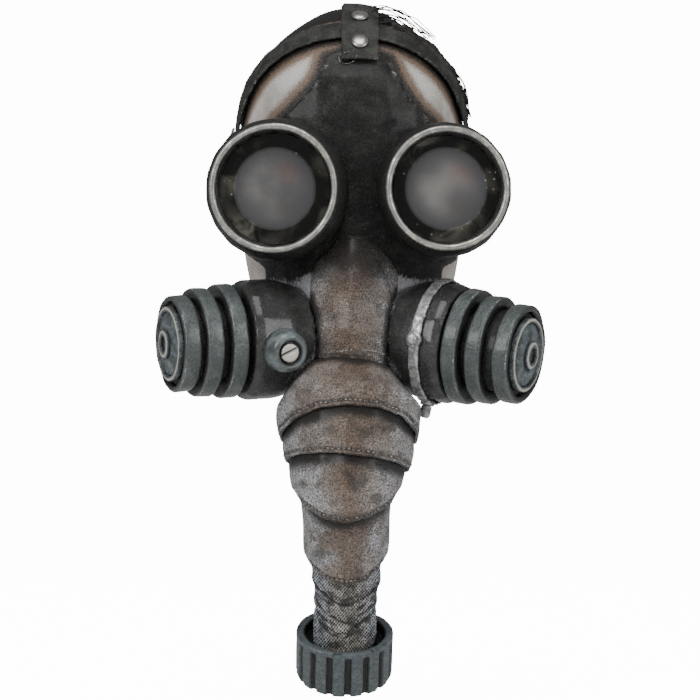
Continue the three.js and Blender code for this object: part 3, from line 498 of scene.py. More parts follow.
# The crown above the band is sprayed black, and the wedges below the goggles stay pale, with little painted
# shade
band_faces = solid_tree("brow_band")
for i, row in enumerate(face_rows):
    on_band = band_faces.find_nearest(row)[0]
    if row[2] > on_band.z + 0.003 and row[2] > wedge_top:
        face_shade[i] = crown_shade
    elif row[2] < wedge_top:
        face_shade[i] *= wedge_shade
painted(face, "shade", face_shade)
stands_for(face, latex_paint, "latex_skin", "face_shell")


# The rubber facepiece. Black moulded rubber glued over the latex, with a raised ridge up the forehead,
# soft creases between the goggles, and silver brushed over its cheeks.
rubber_black = (0.008, 0.008, 0.007, 1)
rubber_grey = (0.032, 0.033, 0.028, 1)
speck_white = (0.40, 0.40, 0.39, 1)
silver_brush = (0.46, 0.46, 0.49, 1)
rubber_voxel = 0.0015
cheek_top = -0.190
cheek_fade = 0.025

tree, shader, rubber_paint = new_material(
    "black_rubber_paint", {"Specular IOR Level": 0.35, "Coat Weight": 0.14, "Coat Roughness": 0.2})
rubber = two_paints(tree, rubber_grey, rubber_black, 45.0, 0.46)
specks = brushed_over(tree, read(tree, "specks"), 1100.0)
brush = brushed_over(tree, read(tree, "brushed"), 620.0, (1.0, 1.0, 0.6))
pores = pebbled(tree, rubber.outputs["Colour"], 620.0, 0.45, 0.5)
colour = mixed(tree, specks, pores.outputs["Colour"], speck_white)
colour = mixed(tree, brush, colour, silver_brush)
linked(tree, shader, {
    "Base Color": colour,
    "Roughness": stepped(tree, rubber.outputs["Mask"], 0.0, 1.0, 0.38, 0.5),
    "Metallic": stepped(tree, brush, 0.0, 1.0, 0.0, 0.3),
    "Normal": bumped(tree, pores.outputs["Height"], 0.9, 0.0009),
})


def sight(across, down):
    """The line of sight through a pixel of the photograph, from the camera as far as the goggle rims."""
    return Vector(((across - photo_width / 2) * pixel_size, camera_distance,
                   (photo_width / 2 - down) * pixel_size))


def seen_point(faces, across, down):
    """Where the line of sight through a pixel meets these faces, and the normal there."""
    place, normal, _, _ = faces.ray_cast(camera_place, sight(across, down).normalized())
    return place, normal


def smooth_path(corners, steps=14):
    """A smooth curve through these corners, as closely spaced rows."""
    rows = [np.array(corner, dtype=float) for corner in corners]
    rows = [2 * rows[0] - rows[1]] + rows + [2 * rows[-1] - rows[-2]]
    path = []
    for a, b, c, d in zip(rows, rows[1:], rows[2:], rows[3:]):
        for i in range(steps):
            s = i / steps
            path.append(0.5 * (2 * b + (c - a) * s + (2 * a - 5 * b + 4 * c - d) * s ** 2
                               + (3 * b - a - 3 * c + d) * s ** 3))
    return path + [rows[-2]]


def seen_path(faces, pixels):
    """A smooth line drawn over the photograph by its corners, laid on these faces."""
    found = [seen_point(faces, across, down) for across, down in smooth_path(pixels)]
    return [(place, normal) for place, normal in found if place is not None]


def pressed(piece, path, width, depth):
    """Presses a groove along a path into the side that faces out. A depth below 0 raises a ridge."""
    line = points_tree([place for place, normal in path])
    rows = coordinates(piece)
    normals = vertex_normals(piece)
    moves = np.zeros(len(rows))
    for i, row in enumerate(rows):
        place, index, far = line.find(row)
        if far < width * 2.5 and path[index][1].dot(Vector(normals[i])) > 0.1:
            moves[i] = -depth * math.exp(-(far / width) ** 2)
    set_coordinates(piece, rows + normals * moves[:, None])


# Creases between and beside the goggles: a line by pixels of the photograph, its width and its depth
crease_rows = (
    {"line": ((316, 119), (334, 127), (352, 131), (372, 130), (392, 123)), "width": 0.0018, "depth": 0.0008},
    {"line": ((352, 134), (350, 152), (353, 172), (351, 192)), "width": 0.0013, "depth": 0.0007},
    {"line": ((366, 133), (364, 150), (361, 168), (363, 186)), "width": 0.0011, "depth": 0.0005},
    {"line": ((340, 140), (343, 158), (341, 176)), "width": 0.0010, "depth": 0.0005},
    {"line": ((342, 205), (350, 216), (360, 222), (374, 218), (384, 207)), "width": 0.0016, "depth": 0.0007},
    {"line": ((330, 222), (342, 232), (356, 236), (372, 233), (386, 223)), "width": 0.0014, "depth": 0.0006},
    {"line": ((300, 262), (306, 272), (309, 286)), "width": 0.0014, "depth": 0.0008},
    {"line": ((394, 262), (400, 276), (402, 290)), "width": 0.0014, "depth": 0.0008},
)

facepiece = roughened(fine_copy("face_rubber", "rubber_facepiece", rubber_voxel), 0.02, 0.0005)
for crease in crease_rows:
    pressed(facepiece, seen_path(piece_tree(facepiece), crease["line"]), crease["width"], crease["depth"])
rubber_rows = coordinates(facepiece)
rubber_edge = nearest(edge_tree("face_rubber"), rubber_rows)
by_panel = nearness(rubber_rows, solid_tree("nose_panel"), 0.014)
below = 1 - smooth_step(rubber_rows[:, 2], cheek_top - cheek_fade, cheek_top)
painted(facepiece, "brushed", below * (0.84 + 0.36 * by_panel))
painted(facepiece, "specks", 0.40 + 0.22 * (1 - smooth_step(rubber_edge, 0.001, 0.010)))
stands_for(facepiece, rubber_paint, "rubber_black", "face_rubber")


# The goggles. Each is a thick black rubber bowl with a silver painted rim rolled round its mouth and a
# glossy tinted plastic lens glued in behind it, with smears of glue round the clear middle.
rim_silver = (0.30, 0.30, 0.285, 1)
rim_cream_highlight = (0.66, 0.63, 0.54, 1)
cup_voxel = 0.0017
rim_sides = 120
rim_tube_sides = 20
head_middle = Vector((-0.005, 0.08, -0.17))


def round_place(node):
    """Where a turned solid is: its centre, and a matrix whose third column is its axis, out of the mask."""
    points = node_points(node)
    centre = points.mean(axis=0)
    sizes, axes = np.linalg.eigh((points - centre).T @ (points - centre))
    odd = 0 if abs(sizes[1] - sizes[2]) < abs(sizes[1] - sizes[0]) else 2
    axis = Vector(axes[:, odd])
    if axis.dot(Vector(centre) - head_middle) < 0:
        axis = -axis
    turn = axis.to_track_quat("Z", "Y").to_matrix().to_4x4()
    return Matrix.Translation(Vector(centre)) @ turn


def round_reach(node, place):
    """The lowest and highest place of a turned solid along its axis, and its inner and outer radius."""
    inside = np.array([place.inverted() @ Vector(p) for p in node_points(node)])
    radii = np.hypot(inside[:, 0], inside[:, 1])
    return inside[:, 2].min(), inside[:, 2].max(), radii.min(), radii.max()


def in_place(piece, place):
    """Every vertex of a turned piece: how far out along the axis it is, and its radius."""
    rows = np.array([place.inverted() @ Vector(p) for p in coordinates(piece)])
    return rows[:, 2], np.hypot(rows[:, 0], rows[:, 1])


def new_piece(name, points, faces):
    """A piece made of these faces, shaded smooth."""
    mesh = bpy.data.meshes.new(name)
    mesh.from_pydata(points, [], faces)
    mesh.polygons.foreach_set("use_smooth", [True] * len(mesh.polygons))
    piece = bpy.data.objects.new(name, mesh)
    scene.collection.objects.link(piece)
    return piece


def turned(name, place, profile, sides=96, ring=False):
    """A turned piece. Profile rows are (place along the axis, radius); a ring's profile closes on itself."""
    points = []
    faces = []
    rows = len(profile)
    for along, radius in profile:
        for i in range(sides):
            angle = math.tau * i / sides
            points.append(place @ Vector((radius * math.cos(angle), radius * math.sin(angle), along)))
    for row in range(rows if ring else rows - 1):
        after = (row + 1) % rows
        for i in range(sides):
            j = (i + 1) % sides
            faces.append((row * sides + i, row * sides + j, after * sides + j, after * sides + i))
    if not ring:
        faces.append(tuple(reversed(range(sides))))
        faces.append(tuple(range((rows - 1) * sides, rows * sides)))
    return new_piece(name, points, faces)


tree, shader, cup_paint = new_material(
    "goggle_rubber_paint", {"Specular IOR Level": 0.4, "Coat Weight": 0.2, "Coat Roughness": 0.25})
rubber = two_paints(tree, rubber_grey, rubber_black, 60.0, 0.36)
specks = brushed_over(tree, 0.47, 1100.0)
pores = pebbled(tree, rubber.outputs["Colour"], 560.0, 0.5, 0.5)
linked(tree, shader, {
    "Base Color": mixed(tree, specks, pores.outputs["Colour"], speck_white),
    "Roughness": stepped(tree, rubber.outputs["Mask"], 0.0, 1.0, 0.36, 0.5),
    "Normal": bumped(tree, pores.outputs["Height"], 0.7, 0.0006),
})

tree, shader, rim_paint = new_material(
    "silver_rim_paint", {"Metallic": 0.75, "Specular IOR Level": 0.5, "Coat Weight": 0.2})
# Silver paint, in patches with a cream that is a painted highlight
silver = two_paints(tree, rim_cream_highlight, rim_silver, 160.0, 0.45)
chipped = brushed_over(tree, 0.36, 700.0)
linked(tree, shader, {
    "Base Color": mixed(tree, chipped, silver.outputs["Colour"], rubber_grey),
    "Roughness": stepped(tree, silver.outputs["Mask"], 0.0, 1.0, 0.26, 0.42),
    "Normal": bumped(tree, silver.outputs["Mask"], 0.12, 0.0003),
})

# The lens: a hazy tinted middle over the eye hole, and a ring of dark plastic behind which glue has run
lens_haze = (0.190, 0.182, 0.172, 1)
lens_smoke = (0.062, 0.063, 0.067, 1)
lens_reflected_red = (0.150, 0.100, 0.085, 1)
glue_black = (0.005, 0.005, 0.0045, 1)
glue_olive = (0.100, 0.096, 0.078, 1)
glue_and_reflection_light = (0.30, 0.30, 0.27, 1)
clear_radius = 0.0283
tree, shader, lens_paint = new_material(
    "goggle_lens_paint",
    {"Roughness": 0.14, "IOR": 1.46, "Coat Weight": 0.25, "Coat Roughness": 0.06, "Specular IOR Level": 0.4})
from_middle = read(tree, "from_middle")
place = object_place(tree)
haze = noise_node(tree, place, 20.0, 3.0)
middle = mixed(tree, stepped(tree, haze.outputs["Fac"], 0.20, 0.62), lens_smoke, lens_haze)
# Painted reflection: reddish spots on the lens
middle = mixed(tree, read(tree, "red_reflection"), middle, lens_reflected_red)
middle = mixed(tree, stepped(tree, from_middle, clear_radius * 0.40, clear_radius * 1.02), middle, lens_smoke)
middle = mixed(tree, read(tree, "deep"), middle, lens_smoke)
streaks = noise_node(tree, place, 42.0, 6.0, Distortion=1.0)
broad = noise_node(tree, place, 22.0)
smear = math_node(tree, "MULTIPLY", stepped(tree, streaks.outputs["Fac"], 0.38, 0.62),
                  stepped(tree, broad.outputs["Fac"], 0.42, 0.66))
ring = mixed(tree, smear, glue_black, glue_olive)
bubbles = add_node(tree, "TexVoronoi", {"Vector": place, "Scale": 190.0, "Randomness": 1.0})
bubble = math_node(tree, "MULTIPLY", stepped(tree, bubbles.outputs["Distance"], 0.20, 0.08),
                   stepped(tree, streaks.outputs["Fac"], 0.50, 0.60))
ring = mixed(tree, bubble, ring, glue_and_reflection_light)
# A thin light ring round the edge of the clear middle is a painted reflection; the same light colour marks
# the bubbles of glue
in_ring = stepped(tree, from_middle, clear_radius * 0.985, clear_radius * 1.035)
in_lip = stepped(tree, from_middle, clear_radius * 1.09, clear_radius * 1.02)
lip = math_node(tree, "MULTIPLY", in_ring, in_lip)
ring = mixed(tree, math_node(tree, "MULTIPLY", lip, 0.16), ring, glue_and_reflection_light)
linked(tree, shader, {
    "Base Color": mixed(tree, in_ring, middle, ring),
    "Normal": bumped(tree, streaks.outputs["Fac"], 0.35, 0.0008),
})

# Two reddish spots of painted reflection on the lens and one darker spot, as places to the right of its
# middle, above and below it
red_reflection_spots = ((0.014, 0.014), (0.012, -0.017))
deep_spot = (0.012, -0.010)


def spot_on(rows, across, up, solid, reach):
    """1 within a solid round spot on a lens, falling to 0 at the reach."""
    return 1 - smooth_step(np.hypot(rows[:, 0] - across, rows[:, 2] - up), solid, reach)


for side in ("left", "right"):
    cup = fine_copy(side + "_eye_cup", side + "_goggle_bowl", cup_voxel, edge_keep=0.004)
    roughened(cup, 0.02, 0.0006)
    stands_for(cup, cup_paint, "rubber_black", side + "_eye_cup")

    rim_place = round_place(side + "_eye_rim")
    _, _, inner, outer = round_reach(side + "_eye_rim", rim_place)
    tube = (outer - inner) / 2
    ring_radius = (outer + inner) / 2
    rim_turns = [math.tau * i / rim_tube_sides for i in range(rim_tube_sides)]
    rim_profile = [(tube * math.sin(turn), ring_radius + tube * math.cos(turn)) for turn in rim_turns]
    rim = turned(side + "_goggle_rim", rim_place, rim_profile, rim_sides, ring=True)
    roughened(rim, 0.012, 0.0003)
    stands_for(rim, rim_paint, "silver_paint", side + "_eye_rim")

    lens_place = round_place(side + "_eye_lens")
    back, front, _, outer = round_reach(side + "_eye_lens", lens_place)
    lens_rings = 24
    lens_rows = [(back, outer * 0.5), (back, outer)]
    lens_rows += [(front, outer * (1 - i / lens_rings)) for i in range(lens_rings)]
    lens = turned(side + "_goggle_lens", lens_place, lens_rows, 96)
    painted(lens, "from_middle", in_place(lens, lens_place)[1])
    from_lens = coordinates(lens) - np.array(lens_place.translation)
    # Painted reflection: reddish spots to the right of the middle
    red_reflection = [spot_on(from_lens, across, up, 0.001, 0.019) for across, up in red_reflection_spots]
    painted(lens, "red_reflection", np.maximum(*red_reflection) * 0.6)
    painted(lens, "deep", 0.75 * spot_on(from_lens, *deep_spot, 0.004, 0.022))
    stands_for(lens, lens_paint, "goggle_lens", side + "_eye_lens")


# The nose and the trunk. A moulded leather panel runs down the nose into four leather sleeves, each
# tucked under the one above and stitched along its hem, brown in the middle and silvery at the sides, where
# the silver is partly a painted highlight. Painted shade lies under the piece above, along the rubber and
# in the seams.
leather_pale = (0.48, 0.445, 0.425, 1)
leather_tan = (0.25, 0.21, 0.185, 1)
leather_brown = (0.215, 0.143, 0.098, 1)
leather_dark_and_shade = (0.008, 0.006, 0.005, 1)
leather_silver_and_highlight = (0.60, 0.60, 0.63, 1)
thread_dark = (0.06, 0.052, 0.047, 1)
thread_light = (0.50, 0.46, 0.42, 1)
leather_voxel = 0.0012
trunk_middle = -0.007

tree, shader, leather_paint = new_material(
    "trunk_leather_paint", {"Specular IOR Level": 0.5, "Coat Weight": 0.3, "Coat Roughness": 0.28})
hide = two_paints(tree, leather_pale, leather_tan, 34.0, 0.5)
colour = mixed(tree, read(tree, "brown"), hide.outputs["Colour"], leather_brown)
# Silver dry brushing, which at the sides also stands as a painted highlight on the rounded leather
silver_and_highlight = brushed_over(tree, read(tree, "brushed"), 1000.0)
colour = mixed(tree, silver_and_highlight, colour, leather_silver_and_highlight)
# Dark paint and painted shade, by the shade attribute
colour = mixed(tree, read(tree, "shade"), colour, leather_dark_and_shade)
pebbles = pebbled(tree, colour, 780.0, 0.40, 0.80)
linked(tree, shader, {
    "Base Color": pebbles.outputs["Colour"],
    "Roughness": stepped(tree, silver_and_highlight, 0.0, 1.0, 0.38, 0.30),
    "Metallic": stepped(tree, silver_and_highlight, 0.0, 1.0, 0.0, 0.35),
    "Normal": bumped(tree, pebbles.outputs["Height"], 1.0, 0.0016),
})

tree, shader, thread_paint = new_material("waxed_thread", {"Roughness": 0.6, "Specular IOR Level": 0.3})
twist = noise_node(tree, object_place(tree), 900.0)
linked(tree, shader, {
    "Base Color": mixed(tree, stepped(tree, twist.outputs["Fac"], 0.4, 0.65), thread_dark, thread_light),
    "Normal": bumped(tree, twist.outputs["Fac"], 0.5, 0.0002),
})


def seam_path(piece, node, above_hem, widest):
    """Points and normals on the outside of a sleeve, a fixed distance above its hem, from side to side."""
    faces = piece_tree(piece)
    hems = edge_tree(node)
    low, high = (Vector(corner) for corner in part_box(node))
    middle = (low + high) / 2
    path = []
    steps = 150
    rise = 0.0006
    well_outside = 0.15
    far_wall = 0.012
    for i in range(steps + 1):
        turn = widest * (2 * i / steps - 1)
        way = Vector((math.sin(turn), -math.cos(turn), 0))
        up = low.z
        while up < middle.z + 0.02:
            start = Vector((middle.x, middle.y, up)) + way * well_outside
            place, normal, _, _ = faces.ray_cast(start, -way)
            # A face of the near wall counts, and not the inside of the far one
            near_side = place is not None and normal.dot(way) > 0.05 and (place - middle).dot(way) > far_wall
            if near_side and hems.find(place)[2] >= above_hem:
                path.append((place, normal))
                break
            up += rise
    return path


def even_path(path, spacing):
    """The same path with its points a fixed distance apart."""
    rows = [path[0]]
    left = spacing
    for (a, a_normal), (b, b_normal) in zip(path, path[1:]):
        length = (b - a).length
        while length >= left > 0:
            share = left / length
            a, a_normal = a.lerp(b, share), a_normal.lerp(b_normal, share).normalized()
            rows.append((a, a_normal))
            length = (b - a).length
            left = spacing
        left -= length
    return rows


def tubes(name, lines, sides=5):
    """One mesh of thin tubes. Each line is a list of (place, radius) rows."""
    points = []
    faces = []
    for line in lines:
        start = len(points)
        for i, (place, radius) in enumerate(line):
            ahead = line[min(i + 1, len(line) - 1)][0] - line[max(i - 1, 0)][0]
            across = ahead.orthogonal().normalized()
            other = ahead.normalized().cross(across)
            for k in range(sides):
                turn = math.tau * k / sides
                points.append(place + (across * math.cos(turn) + other * math.sin(turn)) * radius)
        for i in range(len(line) - 1):
            for k in range(sides):
                a = start + i * sides + k
                b = start + i * sides + (k + 1) % sides
                faces.append((a, b, b + sides, a + sides))
        faces.append(tuple(reversed(range(start, start + sides))))
        faces.append(tuple(range(start + (len(line) - 1) * sides, start + len(line) * sides)))
    return new_piece(name, points, faces)


def stitched(name, path, stitch=0.0025, space=0.0014, radius=0.00056):
    """A row of stitches along a path: each comes up, lies on the leather and goes down again."""
    spacing = 0.0001
    rows = even_path(path, spacing)
    every = int((stitch + space) / spacing)
    long = int(stitch / spacing)
    lines = []
    for start in range(0, len(rows) - every, every):
        line = []
        for share in (0.0, 0.2, 0.5, 0.8, 1.0):
            place, normal = rows[start + int(long * share)]
            # Its middle stands proud, and its thinner ends go into the leather
            lift = radius * (0.9 - 6.4 * (share - 0.5) ** 2)
            line.append((place + normal * lift, radius * (0.7 if share in (0.0, 1.0) else 1.0)))
        lines.append(line)
    threads = tubes(name, lines)
    return stands_for(threads, thread_paint, "trunk_leather")


def line_nearness(path, rows, reach):
    """1 on a path, falling to 0 at the reach."""
    line = points_tree([place for place, normal in path])
    return 1 - smooth_step(nearest(line, rows), 0.0, reach)


# Each leather piece: the solids that cast painted shade on it, how far that reaches, the half width of
# its brown middle, how far above the hem its seam runs, and how far round to each side, in degrees
leather_rows = {
    "nose_panel": {"under": ("left_eye_cup", "right_eye_cup", "left_canister_body", "right_canister_body"),
                   "reach": 0.014, "brown": 0.013},
    "trunk_flap_1": {"under": ("nose_panel", "left_canister_body", "right_canister_body"), "reach": 0.017,
                     "brown": 0.020, "seam": 0.0036, "round": 88},
    "trunk_flap_2": {"under": ("trunk_flap_1",), "reach": 0.015, "brown": 0.018, "seam": 0.0034, "round": 88},
    "trunk_flap_3": {"under": ("trunk_flap_2",), "reach": 0.015, "brown": 0.011, "seam": 0.0026, "round": 60},
    "trunk_flap_4": {"under": ("trunk_flap_3",), "reach": 0.014, "brown": 0.009, "seam": 0.0026, "round": 60},
}
# The nose panel turns black between these heights, towards the bridge of the nose. Its hem laps this far
# over the first sleeve, bent down below this height. Its own two seams are lines by pixels of the photograph
bridge_low = -0.222
bridge_high = -0.196
panel_lap = 0.0036
panel_lap_top = -0.248
panel_hem = ((318, 358), (327, 355), (338, 352), (354, 350), (370, 351), (386, 355))
panel_side_seam = ((373, 252), (384, 268), (390, 285), (392.5, 305), (392, 328))
for node, row in leather_rows.items():
    piece = fine_copy(node, node + "_leather", leather_voxel, rounds=30, edge_keep=0.003, softening=5)
    roughened(piece, 0.022, 0.0012)
    if node == "nose_panel":
        rows = coordinates(piece)
        rows[:, 2] -= panel_lap * (1 - smooth_step(rows[:, 2], rows[:, 2].min(), panel_lap_top))
        set_coordinates(piece, rows)
    seam_shade = 0
    if "seam" in row:
        seam = seam_path(piece, node, row["seam"], math.radians(row["round"]))
        pressed(piece, seam, 0.0009, 0.0007)
        # Found again, so that the stitches lie in the groove
        seam = seam_path(piece, node, row["seam"], math.radians(row["round"]))
        stitched(node + "_stitches", seam)
        # Painted shade in the groove of the seam
        seam_shade = 0.95 * line_nearness(seam, coordinates(piece), 0.0024)
    rows = coordinates(piece)
    blot = np.array([noise.noise(Vector(p) / 0.016) for p in rows])
    aside = np.abs(rows[:, 0] - trunk_middle) + blot * 0.014
    # Painted shade under and beside the listed solids, with blotches of darker airbrush
    under = nearness(rows, solid_tree(*row["under"]), row["reach"])
    hem_line = 1 - smooth_step(nearest(edge_tree(node), rows), 0.0004, 0.0016)
    shade_and_airbrush = 0.93 * smooth_step(under + blot * 0.18, 0.10, 0.90)
    cloudy = np.array([noise.noise(Vector(p) / 0.010 + Vector((3, 5, 7))) for p in rows])
    shade_and_airbrush = np.maximum(shade_and_airbrush, 0.55 * smooth_step(cloudy, 0.10, 0.60))
    if node == "nose_panel":
        # Painted shade along the rubber round the panel's edge
        panel_edge = nearness(rows, solid_tree("face_rubber"), 0.0042)
        on_bridge = smooth_step(rows[:, 2] + blot * 0.006, bridge_low, bridge_high)
        shade_and_airbrush = np.maximum(shade_and_airbrush, np.maximum(0.95 * panel_edge, 0.90 * on_bridge))
    in_middle = 1 - smooth_step(aside, row["brown"] * 0.3, row["brown"] * 2.1)
    # Towards the sides, more silver: dry brushing and a painted highlight
    silver_and_highlight_at_sides = smooth_step(aside, row["brown"] * 0.8, row["brown"] * 2.2)
    painted(piece, "shade", np.clip(np.maximum(np.maximum(shade_and_airbrush, hem_line * 0.85), seam_shade), 0, 1))
    painted(piece, "brown", in_middle * (0.75 + 0.5 * blot))
    painted(piece, "brushed", 0.30 + 0.46 * silver_and_highlight_at_sides)
    stands_for(piece, leather_paint, "trunk_leather", node)
    if node == "nose_panel":
        panel_faces = piece_tree(piece)
        stitched("nose_panel_stitches", seen_path(panel_faces, panel_hem))
        pressed(piece, seen_path(panel_faces, panel_side_seam), 0.0009, 0.0011)


# The hose. A sleeve of woven cloth, which sags in soft U shaped folds between the leather and the cap, with
# painted shade in its folds, rubbed pale in front, and a painted bluish sheen at its sides.
cloth_light = (0.50, 0.48, 0.43, 1)
cloth_blue_sheen = (0.46, 0.50, 0.55, 1)
cloth_dark_and_shade = (0.006, 0.006, 0.005, 1)
thread_wave = 0.0022
hose_voxel = 0.0011

tree, shader, hose_paint = new_material("hose_cloth_paint", {"Roughness": 0.6, "Sheen Weight": 0.1})
place = object_place(tree)
weave = add_node(tree, "SeparateXYZ", {0: place})
shaken = noise_node(tree, place, 350.0)
thread_height = None
for axis, share in (("X", 1.0), ("Z", 1.25)):
    turns = math_node(tree, "MULTIPLY", weave.outputs[axis], math.tau / (thread_wave * share))
    turns = math_node(tree, "ADD", turns, math_node(tree, "MULTIPLY", shaken.outputs["Fac"], 7.0))
    wave = math_node(tree, "SINE", turns)
    thread_height = wave if thread_height is None else math_node(tree, "MULTIPLY", thread_height, wave)
knitted = stepped(tree, thread_height, -0.45, 0.35)
# Painted sheen: bluish towards the sides
cloth = mixed(tree, read(tree, "side"), cloth_light, cloth_blue_sheen)
worn = two_paints(tree, (1, 1, 1, 1), (0.16, 0.16, 0.16, 1), 110.0, 0.52)
cloth = mixed(tree, 1.0, cloth, worn.outputs["Colour"], "MULTIPLY")
colour = mixed(tree, knitted, cloth_dark_and_shade, cloth)
# Painted shade in the folds, from the fold attribute
linked(tree, shader, {
    "Base Color": mixed(tree, read(tree, "fold"), colour, cloth_dark_and_shade),
    "Normal": bumped(tree, knitted, 0.8, 0.0006),
})

# Folds of the hose: a line by pixels of the photograph, its width and its depth
fold_rows = (
    {"line": ((315, 586), (328, 596), (344, 603), (358, 598), (378, 586)), "width": 0.0024, "depth": 0.0034},
    {"line": ((317, 603), (330, 614), (346, 621), (360, 614), (376, 602)), "width": 0.0024, "depth": 0.0034},
    {"line": ((319, 622), (330, 632), (344, 637), (356, 631)), "width": 0.0020, "depth": 0.0024},
    {"line": ((362, 598), (370, 592), (377, 585)), "width": 0.0016, "depth": 0.0014},
    {"line": ((358, 609), (368, 603), (377, 594)), "width": 0.0014, "depth": 0.0012},
    {"line": ((354, 628), (364, 621), (375, 611)), "width": 0.0018, "depth": 0.0016},
    {"line": ((316, 594), (324, 601), (332, 605)), "width": 0.0014, "depth": 0.0012},
    {"line": ((318, 613), (325, 620), (334, 625)), "width": 0.0014, "depth": 0.0012},
)
hose = fine_copy("hose", "cloth_hose", hose_voxel, rounds=30, edge_keep=0.003)
smooth_rows = coordinates(hose)
for fold in fold_rows:
    pressed(hose, seen_path(piece_tree(hose), fold["line"]), fold["width"], fold["depth"])
sunk = np.linalg.norm(coordinates(hose) - smooth_rows, axis=1)
roughened(hose, 0.006, 0.0010)
hose_rows = coordinates(hose)
# Painted shade: dark where the folds are pressed in
painted(hose, "fold", 0.96 * smooth_step(sunk, 0.0003, 0.0013))
# Painted sheen: bluish towards the sides of the hose
painted(hose, "side", smooth_step(np.abs(hose_rows[:, 0] - trunk_middle), 0.008, 0.020))
stands_for(hose, hose_paint, "hose_cloth", "hose")


# The cap. A moulded plastic cap with square ribs round it and a dished end, painted blue grey, with black
# painted shade in its grooves and its dish, and a worn light rim.
cap_blue = (0.075, 0.092, 0.098, 1)
cap_smudge = (0.105, 0.122, 0.127, 1)
cap_worn = (0.36, 0.385, 0.39, 1)
cap_shade_black = (0.006, 0.005, 0.005, 1)
cap_voxel = 0.0010
cap_ribs = 16
cap_groove_share = 0.33
cap_groove_depth = 0.0024
cap_rim_height = 0.0030

tree, shader, cap_paint = new_material("ribbed_cap_paint", {"Roughness": 0.34, "Specular IOR Level": 0.5})
paint = two_paints(tree, cap_smudge, cap_blue, 110.0, 0.42)
rubbed = brushed_over(tree, stepped(tree, read(tree, "worn"), 0.0, 1.0, 0.40, 1.0), 620.0)
pits = pebbled(tree, paint.outputs["Colour"], 420.0, 0.3, 0.3)
colour = mixed(tree, rubbed, pits.outputs["Colour"], cap_worn)
# Painted shade, black, in the grooves and the dish
colour = mixed(tree, read(tree, "recess_shade"), colour, cap_shade_black)
linked(tree, shader, {"Base Color": colour, "Normal": bumped(tree, pits.outputs["Height"], 0.5, 0.0005)})

cap = fine_copy("hose_cap", "ribbed_cap", cap_voxel, rounds=4, edge_keep=0.002)
cap_place = round_place("hose_cap")
cap_low, cap_high, _, cap_outer = round_reach("hose_cap", cap_place)
in_cap = np.array([cap_place.inverted() @ Vector(p) for p in coordinates(cap)])
cap_radii = np.hypot(in_cap[:, 0], in_cap[:, 1])
cap_turns = np.arctan2(in_cap[:, 1], in_cap[:, 0])
on_wall = cap_radii > cap_outer - 0.0038
rim_up = cap_low if (cap_place.to_3x3() @ Vector((0, 0, 1))).z < 0 else cap_high
from_rim = np.abs(in_cap[:, 2] - rim_up)
# The ribs go where the solid has its own
rib_heights = cap_radii[on_wall] - cap_outer + 0.0015
rib_phase = np.angle(np.sum(rib_heights * np.exp(1j * cap_ribs * cap_turns[on_wall])))
in_rib = np.cos(cap_ribs * cap_turns - rib_phase)
groove_edge = -math.cos(math.pi * cap_groove_share)
groove = 1 - smooth_step(in_rib, groove_edge - 0.22, groove_edge + 0.22)
groove *= smooth_step(from_rim, cap_rim_height, cap_rim_height + 0.0015)
# The wall is set anew, with grooves between the ribs and a round lower edge
cap_length = cap_high - cap_low
bottom_round = 0.0016 * smooth_step(from_rim, cap_length - 0.004, cap_length)
new_radii = np.where(on_wall, cap_outer - 0.0003 - groove * cap_groove_depth - bottom_round, cap_radii)
scaled = new_radii / np.maximum(cap_radii, 1e-6)
in_cap[:, 0] *= scaled
in_cap[:, 1] *= scaled
set_coordinates(cap, np.array([cap_place @ Vector(p) for p in in_cap]))
roughened(cap, 0.01, 0.0003)
# Painted shade in the grooves between the ribs and in the dish
in_dish = (cap_radii < cap_outer - 0.0055) & (from_rim < 0.012)
painted(cap, "recess_shade", np.clip(np.where(on_wall, groove * 1.1, 0) + np.where(in_dish, 0.93, 0), 0, 1))
rim_line = 0.6 * (1 - smooth_step(np.hypot(from_rim, new_radii - cap_outer + 0.001), 0.0003, 0.0016))
rib_edges = np.where(on_wall, np.clip(1 - np.abs(groove - 0.35) * 4, 0, 1), 0)
painted(cap, "worn", np.maximum(rim_line, 0.36 * rib_edges))
stands_for(cap, cap_paint, "cap_paint", "hose_cap")


# The harness. Straps of faux leather, glued and riveted to the latex: one across the forehead to the
# temples, one over the crown and one round the back. The tab that joins the first two comes further down.
strap_grey = (0.042, 0.043, 0.038, 1)
strap_black = (0.013, 0.014, 0.012, 1)
strap_worn = (0.30, 0.31, 0.28, 1)
strap_voxel = 0.0011

tree, shader, strap_paint = new_material("strap_paint", {"Roughness": 0.55, "Specular IOR Level": 0.45})
hide = two_paints(tree, strap_grey, strap_black, 70.0, 0.5)
worn_edge = brushed_over(tree, stepped(tree, read(tree, "hem"), 0.78, 1.0, 0.45, 0.66), 800.0)
pebbles = pebbled(tree, hide.outputs["Colour"], 760.0, 0.6, 0.7)
linked(tree, shader, {
    "Base Color": mixed(tree, worn_edge, pebbles.outputs["Colour"], strap_worn),
    "Normal": bumped(tree, pebbles.outputs["Height"], 0.6, 0.0005),
})
for node in ("brow_band", "crown_strap", "back_strap"):
    piece = fine_copy(node, node + "_leather", strap_voxel, rounds=25, edge_keep=0.003)
    roughened(piece, 0.015, 0.0005)
    stands_for(piece, strap_paint, "strap", node)


# The rivets. Domed steel heads set through the straps, dull and scratched.
rivet_steel = (0.42, 0.41, 0.39, 1)
rivet_dark = (0.10, 0.095, 0.09, 1)

